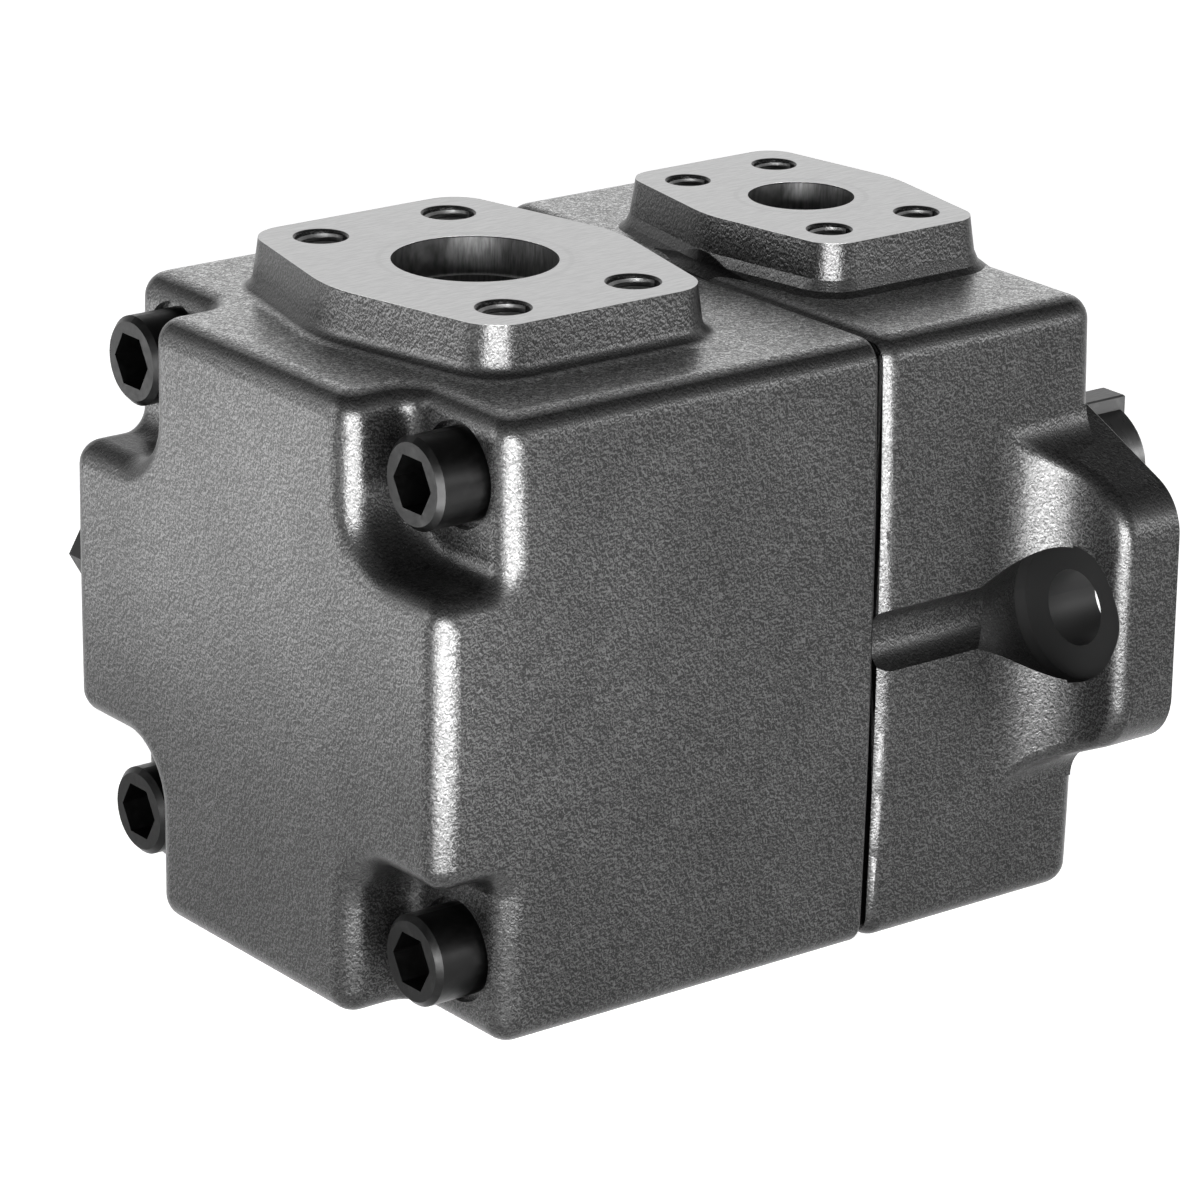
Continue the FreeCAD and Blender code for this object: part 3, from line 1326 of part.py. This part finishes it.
def make_plug():
    """Hexagon-head screw plug in the side wall, with its sealing washer."""
    side = s.body_width / 2
    under = side + s.plug_seal_thickness
    body = new_body("side_plug")
    sketch = new_sketch(body, "plug_hexagon", "XZ_Plane", -under)
    hexagon(sketch, -s.plug_at, s.plug_level, s.plug_head_dia)
    pad(body, sketch, s.plug_head_height, "plug_head", reverse=True)
    sketch = new_sketch(body, "plug_shank_circle", "XZ_Plane", -under)
    circle(sketch, -s.plug_at, s.plug_level, s.plug_dia - 2 * s.thread_play)
    pad(body, sketch, s.plug_length + s.plug_seal_thickness, "plug_shank")
    washer = new_body("plug_seal")
    sketch = new_sketch(washer, "plug_seal_circles", "XZ_Plane", -side)
    circle(sketch, -s.plug_at, s.plug_level, s.plug_seal_dia)
    circle(sketch, -s.plug_at, s.plug_level, s.plug_dia)
    pad(washer, sketch, s.plug_seal_thickness, "plug_washer", reverse=True)


make_rear_housing()
make_front_housing()
make_housing_bolts()
torus("housing_seal_ring", seal_ring_dia(), s.seal_ring_section, -s.parting + s.seal_ring_section / 2)
make_shaft()
make_key()
make_bearing()
make_bearing_clips()
make_shaft_seal()
make_rear_bush()
make_rear_side_plate()
make_front_side_plate()
torus("neck_seal_ring", s.neck_dia - s.neck_seal_section, s.neck_seal_section, neck_groove()[0])
make_cam_ring()
make_rotor()
make_vanes()
make_cartridge_fasteners()
make_plug()

doc.recompute()

failed = [item.Name for item in doc.Objects if "Invalid" in item.State or "Error" in item.State]
for item in PARTS:
    if item.Shape.isNull() or not item.Shape.isValid():
        failed.append(item.Label)
if failed:
    raise RuntimeError("not built: " + ", ".join(failed))

os.makedirs("parts", exist_ok=True)
for item in PARTS:
    item.Shape.exportStep("parts/%s.step" % item.Label)
    print(item.Label, len(item.Shape.Solids), round(item.Shape.Volume))
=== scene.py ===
"""Looks of the hydraulic vane pump: procedural materials for every CAD node, the modelled
threads of the tapped port holes, a pale studio and the camera of the photograph."""

import math

import bmesh
import bpy
from mathutils import Matrix, Vector


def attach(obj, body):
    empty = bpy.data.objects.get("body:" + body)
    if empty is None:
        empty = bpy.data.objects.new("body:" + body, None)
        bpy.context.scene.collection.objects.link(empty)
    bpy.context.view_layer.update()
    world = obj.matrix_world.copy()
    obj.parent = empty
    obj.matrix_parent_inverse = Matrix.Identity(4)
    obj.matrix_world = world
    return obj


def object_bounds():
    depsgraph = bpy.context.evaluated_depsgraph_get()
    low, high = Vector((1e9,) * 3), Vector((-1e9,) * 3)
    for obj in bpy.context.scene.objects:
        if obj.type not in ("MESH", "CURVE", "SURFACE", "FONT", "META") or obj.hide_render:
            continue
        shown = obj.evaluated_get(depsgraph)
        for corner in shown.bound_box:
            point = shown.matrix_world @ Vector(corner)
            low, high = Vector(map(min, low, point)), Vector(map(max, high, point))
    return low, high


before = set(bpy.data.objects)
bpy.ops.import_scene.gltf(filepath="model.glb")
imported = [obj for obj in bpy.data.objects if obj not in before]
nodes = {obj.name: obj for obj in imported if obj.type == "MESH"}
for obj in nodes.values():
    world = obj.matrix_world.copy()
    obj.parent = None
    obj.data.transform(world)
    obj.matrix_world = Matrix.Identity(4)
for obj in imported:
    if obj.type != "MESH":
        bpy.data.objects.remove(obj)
cad_low, cad_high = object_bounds()

MM = 0.001

# Ports of the housings, in millimetres, repeated from the part
PORT_TOP = 83.0
PORT_SKIM = 0.05
SUCTION = {"at": -127.5, "bore": 38.0, "rows": 35.7, "span": 69.9, "thread": 12.0,
           "pitch": 1.75, "depth": 22.0}
DISCHARGE = {"at": -33.0, "bore": 25.0, "rows": 26.2, "span": 52.4, "thread": 10.0,
             "pitch": 1.5, "depth": 19.0}

# Machined bores below the ports and the faint ring round each mouth, in millimetres
BORE_SHOWN = 30.0
BORE_MARGIN = 0.3
RING_FROM, RING_TO = 2.2, 3.4

# Other machined places of the housings, the band of painted shade at the joint gap and the
# height above which upward faces get a painted sheen, in metres
SEAT_AT = 0.080
SEAT_RADIUS = 0.0171
SEAT_FROM = -0.0186
JOINT_FROM, JOINT_TO = -0.0676, -0.0674
GAP_FROM, GAP_TO = -0.0687, -0.0663
FLANGE_FACE = -0.00005
TOP_SHEEN_FROM = 0.06

# Rounded rim of the front housing at the joint: where it starts, its radius and the distance
# from the axis past which it lies, in metres
RIM_START = 0.0675
RIM_ROUND = 0.005
RIM_OUTSIDE = 0.066

# Orange peel of the cast skin: cells per metre, depth in metres, and the step from one side of
# a grain to the other, toward the side that gets the painted highlight
SKIN_GRAIN = 1250.0
SKIN_DEPTH = 0.00008
SKIN_SHIFT = (0.00015, 0.00015, 0.00028)

# Grey levels of the housings; top sheen and glints are painted highlights, gap and bores painted
# shade
SKIN_GREY = (0.033, 0.043)
TOP_SHEEN_GREY = 0.34
GLINT_GREY = 0.3
SEAT_GREY = 0.03
GAP_SHADE_GREY = 0.004
METAL_GREY = (0.50, 0.66)
RING_GREY = 0.42
BORE_SHADE_GREY = (0.17, 0.30)

# Half width of a mask's soft edge, in metres
SOFT = 0.00004


class Graph:
    """A material's node tree, filled one node at a time."""

    def __init__(self, name):
        self.material = bpy.data.materials.new(name)
        self.material.use_nodes = True
        self.tree = self.material.node_tree
        self.tree.nodes.clear()
        output = self.tree.nodes.new("ShaderNodeOutputMaterial")
        self.shader = self.tree.nodes.new("ShaderNodeBsdfPrincipled")
        self.tree.links.new(self.shader.outputs["BSDF"], output.inputs["Surface"])
        self.place = self.tree.nodes.new("ShaderNodeTexCoord").outputs["Object"]
        self.normal = self.tree.nodes.new("ShaderNodeNewGeometry").outputs["Normal"]

    def put(self, value, socket):
        """A number, a vector or the output of another node goes into a socket."""
        if isinstance(value, bpy.types.NodeSocket):
            self.tree.links.new(value, socket)
        else:
            socket.default_value = value

    def node(self, kind, values, **settings):
        """New node; values holds what goes into its sockets, by their name or number."""
        node = self.tree.nodes.new("ShaderNode" + kind)
        for name, value in settings.items():
            setattr(node, name, value)
        for socket, value in values.items():
            self.put(value, node.inputs[socket])
        return node

    def math(self, operation, *values):
        return self.node("Math", dict(enumerate(values)), operation=operation).outputs[0]

    def vector(self, operation, *values):
        return self.node("VectorMath", dict(enumerate(values)), operation=operation).outputs[0]

    def axes(self, source):
        return self.node("SeparateXYZ", {0: source}).outputs

    def noise(self, scale, detail=2.0, rough=0.5, source=None, seed=0.0, twist=0.0):
        """Noise over the object's place; seed moves it to another part of the pattern."""
        source = source or self.place
        if seed:
            source = self.vector("ADD", source, (seed, 0.37 * seed, 0.61 * seed))
        return self.node("TexNoise", {"Vector": source, "Scale": scale, "Detail": detail,
                                      "Roughness": rough, "Distortion": twist}).outputs["Fac"]

    def stretched(self, factors):
        """Coordinates stretched by a factor along each axis."""
        return self.vector("MULTIPLY", self.place, factors)

    def range(self, value, low, high, to_low=0.0, to_high=1.0):
        """Value between low and high carried over to another range, and clamped to it."""
        return self.node("MapRange", {0: value, 1: low, 2: high, 3: to_low, 4: to_high}).outputs[0]

    def mix(self, factor, a, b):
        """Blend of two numbers."""
        return self.node("Mix", {0: factor, 2: a, 3: b}, data_type="FLOAT").outputs[0]

    def tint(self, factor, a, b):
        """Blend of two colours."""
        return self.node("Mix", {0: factor, 6: a, 7: b}, data_type="RGBA").outputs[2]

    def turn(self, factor, a, b):
        """Blend of two directions."""
        return self.node("Mix", {0: factor, 4: a, 5: b}, data_type="VECTOR").outputs[1]

    def bump(self, height, distance, strength=1.0, normal=None):
        values = {"Strength": strength, "Distance": distance, "Height": height}
        if normal is not None:
            values["Normal"] = normal
        return self.node("Bump", values).outputs[0]

    def finish(self, colour, rough, normal, metal=1.0):
        for socket, value in (("Base Color", colour), ("Roughness", rough), ("Metallic", metal),
                              ("Normal", normal)):
            self.put(value, self.shader.inputs[socket])
        return self.material


def grey(level, warm=0.0):
    return (level * (1 + warm), level, level * (1 - warm), 1.0)


def dress(names, material):
    """The material goes into every slot of the named CAD nodes."""
    for name in names:
        for slot in nodes[name].material_slots:
            slot.material = material


# Masks over the position in metres

def above(g, value, level, soft=SOFT):
    return g.range(value, level - soft, level + soft)


def below(g, value, level, soft=SOFT):
    return g.range(value, level - soft, level + soft, 1.0, 0.0)


def joined(g, operation, masks):
    result = masks[0]
    for mask in masks[1:]:
        result = g.math(operation, result, mask)
    return result


def both(g, *masks):
    return joined(g, "MULTIPLY", masks)


def either(g, *masks):
    return joined(g, "MAXIMUM", masks)


def away(g, u, v, u0, v0):
    """Distance from an axis through (u0, v0)."""
    du = g.math("SUBTRACT", u, u0)
    dv = g.math("SUBTRACT", v, v0)
    return g.math("SQRT", g.math("ADD", g.math("MULTIPLY", du, du), g.math("MULTIPLY", dv, dv)))


def rim_normal(g, x, y, z, nx):
    """Even normals over the rounded rim of the front housing, which its few faces leave uneven."""
    rim_end = RIM_ROUND - RIM_START
    outside = g.math("MAXIMUM", g.math("ABSOLUTE", y), g.math("ABSOLUTE", z))
    rim = both(g, above(g, outside, RIM_OUTSIDE), above(g, x, -RIM_START),
               below(g, x, rim_end, 0.0001), below(g, nx, -0.02, 0.01))
    lean = g.math("MULTIPLY", rim, g.range(x, -RIM_START, rim_end, 1.0, 0.0))
    across = g.vector("NORMALIZE", g.vector("MULTIPLY", g.normal, (0.0, 1.0, 1.0)))
    upright = g.math("SQRT", g.math("SUBTRACT", 1.0, g.math("MULTIPLY", lean, lean)))
    back = g.node("CombineXYZ", {0: g.math("MULTIPLY", lean, -1.0)}).outputs[0]
    return g.turn(rim, g.normal, g.vector("MULTIPLY_ADD", across, upright, back))


def machined_places(g, x, y, z, nx):
    """Masks of all machined places, of the port bores alone and of the rings round them."""
    bores, rings = [], []
    for port in (SUCTION, DISCHARGE):
        radius = port["bore"] / 2
        bore = away(g, x, y, port["at"] * MM, 0.0)
        bores.append(both(g, below(g, bore, (radius + BORE_MARGIN) * MM),
                          above(g, z, (PORT_TOP - BORE_SHOWN) * MM)))
        rings.append(both(g, above(g, bore, (radius + RING_FROM) * MM, 0.0002),
                          below(g, bore, (radius + RING_TO) * MM, 0.0002)))
    bored = both(g, either(g, *bores), below(g, z, (PORT_TOP - BORE_MARGIN) * MM))
    joint = both(g, above(g, x, JOINT_FROM), below(g, x, JOINT_TO),
                 above(g, g.math("ABSOLUTE", nx), 0.9))
    machined = either(g, above(g, z, (PORT_TOP - PORT_SKIM) * MM), bored,
                      above(g, x, FLANGE_FACE), joint)
    return machined, bored, either(g, *rings)


def cast_iron():
    """Dark satin cast iron with machined faces and bores."""
    g = Graph("cast_iron_looks")
    x, y, z = g.axes(g.place)
    nx, ny, nz = g.axes(g.normal)
    machined, bored, rings = machined_places(g, x, y, z, nx)
    hollow = both(g, below(g, away(g, g.math("ABSOLUTE", y), z, SEAT_AT, 0.0), SEAT_RADIUS),
                  above(g, x, SEAT_FROM))
    # Painted shade: the band of the joint gap between the housings is painted nearly black
    gap = both(g, above(g, x, GAP_FROM), below(g, x, GAP_TO))

    # Cast skin: orange peel with a painted highlight on one side of each grain and painted shade on
    # the other, weaker over rounded edges, painted glints, and broad faint stains
    peel = g.noise(SKIN_GRAIN, 1.0, twist=1.0)
    shifted = g.noise(SKIN_GRAIN, 1.0, source=g.vector("ADD", g.place, SKIN_SHIFT), twist=1.0)
    flat = joined(g, "MAXIMUM", [g.math("ABSOLUTE", part) for part in (nx, ny, nz)])
    # Painted highlight and shade: the skin's grey is raised on one side of each grain, lowered on
    # the other
    lit = g.math("MULTIPLY", g.math("SUBTRACT", peel, shifted), g.range(flat, 0.9, 0.99, 0.4, 1.0))
    fine = g.noise(SKIN_GRAIN * 2.2, 1.0, seed=1.0)
    stain = g.noise(30.0, 3.0, 0.55, seed=3.0)
    # Painted glints: small bright specks of painted highlight over the grain
    painted_glint = g.range(g.noise(SKIN_GRAIN * 1.3, 1.0, seed=4.0), 0.66, 0.8)
    skin = g.range(stain, 0.3, 0.7, *SKIN_GREY)
    # Painted sheen: upward faces high on the housings are painted far lighter than the sides
    skin = g.mix(both(g, g.range(nz, 0.8, 0.98), above(g, z, TOP_SHEEN_FROM)), skin, TOP_SHEEN_GREY)
    skin = g.math("MULTIPLY", skin, g.range(lit, -0.08, 0.17, 0.6, 2.3))
    skin = g.mix(g.math("MULTIPLY", painted_glint, 0.2), skin, GLINT_GREY)
    skin = g.mix(hollow, skin, SEAT_GREY)
    skin = g.mix(gap, skin, GAP_SHADE_GREY)
    skin_rough = g.mix(hollow, g.range(fine, 0.3, 0.7, 0.27, 0.36), 0.5)
    relief = g.mix(hollow, g.math("ADD", peel, g.math("MULTIPLY", fine, 0.3)), 0.5)

    # Machined metal: fine streaks and the swirl of the cutter
    streak = g.noise(1.0, 2.0, 0.6, g.stretched((260.0, 2600.0, 260.0)), seed=5.0)
    turns = g.math("MULTIPLY", away(g, x, y, -0.10, -0.31), 700.0)
    swirl = g.math("SINE", g.math("MULTIPLY", turns, 2 * math.pi))
    swirl = g.math("MULTIPLY", swirl, g.noise(90.0, 2.0, 0.6, seed=6.0))
    cut = g.math("ADD", g.math("MULTIPLY", swirl, 0.3), g.math("MULTIPLY", streak, 0.5))
    metal = g.range(streak, 0.35, 0.65, *METAL_GREY)
    metal = g.mix(g.math("MULTIPLY", rings, 0.25), metal, RING_GREY)
    # Painted shade: the port bores are painted darker than the machined faces round them
    metal = g.mix(bored, metal, g.range(streak, 0.3, 0.7, *BORE_SHADE_GREY))
    metal_rough = g.range(streak, 0.2, 0.8, 0.28, 0.38)

    colour = g.tint(g.mix(machined, skin, metal), grey(0.0), grey(1.0))
    rough = g.mix(machined, skin_rough, metal_rough)
    height = g.mix(machined, relief, g.math("MULTIPLY", cut, 0.05))
    normal = g.bump(height, SKIN_DEPTH, 1.0, rim_normal(g, x, y, z, nx))
    return g.finish(colour, rough, normal, g.mix(machined, 0.92, 1.0))


def ground_steel(name, level, rough, scale=(1, 1, 1), seed=0.0, warm=0.0, end_shade=0):
    """Machined steel with fine marks, faint stains and worn patches; the last argument is the share
    of the grey level that the end faces toward -X keep, as painted shade."""
    g = Graph(name)
    marks = g.noise(1.0, 3.0, 0.6, g.stretched(tuple(700.0 * k for k in scale)), seed=seed)
    cloud = g.noise(60.0, 3.0, seed=seed + 1)
    wear = g.range(g.noise(240.0, 3.0, 0.6, seed=seed + 2), 0.56, 0.68)
    colour = g.tint(cloud, grey(level * 0.85, warm), grey(level * 1.1, warm))
    if end_shade:
        # Painted shade: the end faces toward -X are darkened to a share of the grey level
        ends = below(g, g.axes(g.normal)[0], -0.95, 0.03)
        colour = g.tint(ends, colour, grey(level * end_shade, warm))
    colour = g.tint(g.math("MULTIPLY", wear, 0.35), colour, grey(min(level * 1.6, 0.8), warm))
    roughness = g.range(marks, 0.3, 0.7, rough - 0.06, rough + 0.06)
    return g.finish(colour, roughness, g.bump(marks, 0.00004, 0.5))


def rubber():
    g = Graph("rubber_looks")
    cloud = g.noise(400.0, 3.0)
    colour = g.tint(cloud, grey(0.012), grey(0.022))
    rough = g.range(cloud, 0.3, 0.7, 0.5, 0.62)
    return g.finish(colour, rough, g.bump(cloud, 0.00003, 0.6), 0.0)


dress(["rear_housing", "front_housing"], cast_iron())
dress(["housing_bolts", "side_plug", "cartridge_screws"],
      ground_steel("black_oxide_looks", 0.016, 0.36, seed=10.0, end_shade=0.4))
dress(["drive_shaft"], ground_steel("shaft_looks", 0.10, 0.32, (4, 0.4, 0.4), seed=20.0))
dress(["shaft_key"], ground_steel("key_looks", 0.12, 0.38, (0.5, 3, 3), seed=30.0))
dress(["rotor", "cam_ring", "front_side_plate", "rear_side_plate", "dowel_pins",
       "bearing_inner_ring", "bearing_outer_ring", "housing_circlip", "shaft_circlip",
       "seal_garter_spring"] + ["vane_%02d" % n for n in range(1, 13)],
      ground_steel("steel_looks", 0.5, 0.25, seed=40.0))
dress(["bearing_balls"], ground_steel("ball_looks", 0.6, 0.12, seed=50.0))
dress(["seal_case"], ground_steel("seal_case_looks", 0.2, 0.4, seed=60.0))
dress(["bearing_cage"], ground_steel("cage_looks", 0.4, 0.35, seed=70.0, warm=0.35))
dress(["rear_bush", "plug_seal"], ground_steel("bronze_looks", 0.35, 0.3, seed=80.0, warm=0.35))
dress(["housing_seal_ring", "neck_seal_ring", "seal_lip"], rubber())


# Threads of the tapped holes: steps per turn, ridge height in pitches, and how far the thread
# starts below the port face and ends above the foot of the hole, in millimetres
THREAD_STEPS = 36
THREAD_RIDGE = 0.61
THREAD_START = 0.7
THREAD_END = 3.0
THREAD_PLAY = 0.02


def thread_insert(name, x, y, port, material):
    """The thread of a tapped hole: ridges that wind down the wall of the drilled hole."""
    pitch = port["pitch"]
    outer = port["thread"] / 2 - THREAD_PLAY
    inner = outer - THREAD_RIDGE * pitch
    top = PORT_TOP - THREAD_START - 0.5 * pitch
    turns = int((port["depth"] - THREAD_END) / pitch)
    profile = [(outer, -0.46), (inner, -0.08), (inner, 0.08), (outer, 0.46)]
    mesh = bmesh.new()
    rings = []
    for i in range(turns * THREAD_STEPS + 1):
        angle = 2 * math.pi * i / THREAD_STEPS
        grow = min(1.0, i / (0.6 * THREAD_STEPS))
        ring = []
        for radius, offset in profile:
            r = outer - (outer - radius) * grow
            level = top + (offset - i / THREAD_STEPS) * pitch
            place = Vector((x + r * math.cos(angle), y + r * math.sin(angle), level))
            ring.append(mesh.verts.new(place * MM))
        rings.append(ring)
    for a, b in zip(rings, rings[1:]):
        for k in range(len(profile) - 1):
            mesh.faces.new((a[k], a[k + 1], b[k + 1], b[k]))
    mesh.normal_update()
    piece = mesh_piece(name, mesh, material)
    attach(piece, "base")


def linked(name, data):
    """New object in the scene."""
    thing = bpy.data.objects.new(name, data)
    bpy.context.scene.collection.objects.link(thing)
    return thing


def mesh_piece(name, mesh, material):
    """Object with the faces of a bmesh and one material."""
    data = bpy.data.meshes.new(name)
    mesh.to_mesh(data)
    mesh.free()
    data.materials.append(material)
    return linked(name, data)


thread_steel = ground_steel("thread_looks", 0.25, 0.35, seed=90.0)
for label, port in (("suction", SUCTION), ("discharge", DISCHARGE)):
    corners = [(u, v) for u in (-0.5, 0.5) for v in (-0.5, 0.5)]
    for number, (u, v) in enumerate(corners, 1):
        thread_insert("%s_thread_%d" % (label, number), port["at"] + u * port["rows"],
                      v * port["span"], port, thread_steel)


# Studio: pale floor, white surroundings and soft lamps

FLOOR_HALF = 9.0
FLOOR_GLOW = 0.50
FLOOR_GLOW_SEEN = 0.12


def floor_looks():
    """Pale floor that glows a little for the camera and in reflections."""
    g = Graph("floor_looks")
    colour = g.tint(g.noise(3.0, 3.0), grey(0.86), grey(0.9))
    g.finish(colour, 0.8, g.bump(g.noise(300.0), 0.0002, 0.3), 0.0)
    path = g.node("LightPath", {}).outputs
    seen = either(g, path["Is Camera Ray"], path["Is Glossy Ray"], path["Is Transmission Ray"])
    glow = g.math("MULTIPLY", seen, FLOOR_GLOW)
    glow = g.math("MULTIPLY_ADD", path["Is Camera Ray"], FLOOR_GLOW_SEEN, glow)
    g.put((1, 1, 1, 1), g.shader.inputs["Emission Color"])
    g.put(glow, g.shader.inputs["Emission Strength"])
    return g.material


floor_mesh = bmesh.new()
floor_mesh.faces.new([floor_mesh.verts.new((sx * FLOOR_HALF, sy * FLOOR_HALF, cad_low.z))
                      for sx, sy in ((-1, -1), (1, -1), (1, 1), (-1, 1))])
mesh_piece("floor", floor_mesh, floor_looks())


def surroundings():
    """White horizon and a dark ceiling, by the height of the direction."""
    world = bpy.data.worlds.new("studio")
    bpy.context.scene.world = world
    world.use_nodes = True
    tree = world.node_tree
    tree.nodes.clear()
    output = tree.nodes.new("ShaderNodeOutputWorld")
    sky = tree.nodes.new("ShaderNodeBackground")
    sky.inputs["Color"].default_value = (1, 1, 1, 1)
    direction = tree.nodes.new("ShaderNodeTexCoord")
    parts = tree.nodes.new("ShaderNodeSeparateXYZ")
    level = tree.nodes.new("ShaderNodeMapRange")
    level.interpolation_type = "SMOOTHSTEP"
    for socket, value in (("From Min", 0.36), ("From Max", 0.72), ("To Min", 1.0), ("To Max", 0.12)):
        level.inputs[socket].default_value = value
    for source, socket in ((direction.outputs["Generated"], parts.inputs[0]),
                           (parts.outputs["Z"], level.inputs["Value"]),
                           (level.outputs[0], sky.inputs["Strength"]),
                           (sky.outputs[0], output.inputs["Surface"])):
        tree.links.new(source, socket)


surroundings()

LAMP_AIM = Vector((-0.06, 0.0, 0.0))
FACING_UP = math.pi


def lamp(name, place, size, power):
    """Soft lamp that looks at the pump."""
    data = bpy.data.lights.new(name, "AREA")
    data.shape = "RECTANGLE"
    data.size, data.size_y = size
    data.energy = power
    light = linked(name, data)
    light.location = place
    light.rotation_euler = (LAMP_AIM - Vector(place)).to_track_quat("-Z", "Y").to_euler()
    return light


def card(name, place, turn, size, power):
    """A lamp that lies on the floor and shines up, as a lit white card does."""
    lamp(name, place, size, power).rotation_euler = (FACING_UP, 0.0, math.radians(turn))


lamp("key_lamp", (-1.75, 1.0, 0.45), (1.2, 1.0), 20.0)
lamp("fill_lamp", (1.3, -1.6, 0.40), (1.2, 0.5), 10.0)
lamp("front_panel", (-0.60, -0.69, 0.10), (0.75, 0.32), 19.4)
card("front_card", (-0.35, -0.40, -0.0725), 48.5, (0.48, 0.42), 13.0)
card("left_card", (-0.52, 0.36, -0.0725), 0.0, (0.44, 0.5), 2.5)


# Camera of the photograph: place in metres, turns in degrees, focal length in picture widths
PLACE = (-0.8247, -0.9532, 0.4169)
TURN = 52.4071
DOWN = 19.3542
ROLL = 0.7739
FOCAL = 5459.5 / 1200
SENSOR = 36.0

turn, down, roll = (math.radians(angle) for angle in (TURN, DOWN, ROLL))
forward = Vector((math.cos(turn) * math.cos(down), math.sin(turn) * math.cos(down), -math.sin(down)))
level_right = forward.cross(Vector((0, 0, 1))).normalized()
level_up = level_right.cross(forward)
right = level_right * math.cos(roll) + level_up * math.sin(roll)
up = right.cross(forward)
camera_data = bpy.data.cameras.new("camera")
camera_data.sensor_width = SENSOR
camera_data.lens = FOCAL * SENSOR
camera = linked("camera", camera_data)
camera.matrix_world = (Matrix.Translation(PLACE)
                       @ Matrix((right, up, -forward)).transposed().to_4x4())
bpy.context.scene.camera = camera
bpy.context.scene.view_settings.view_transform = "Standard"
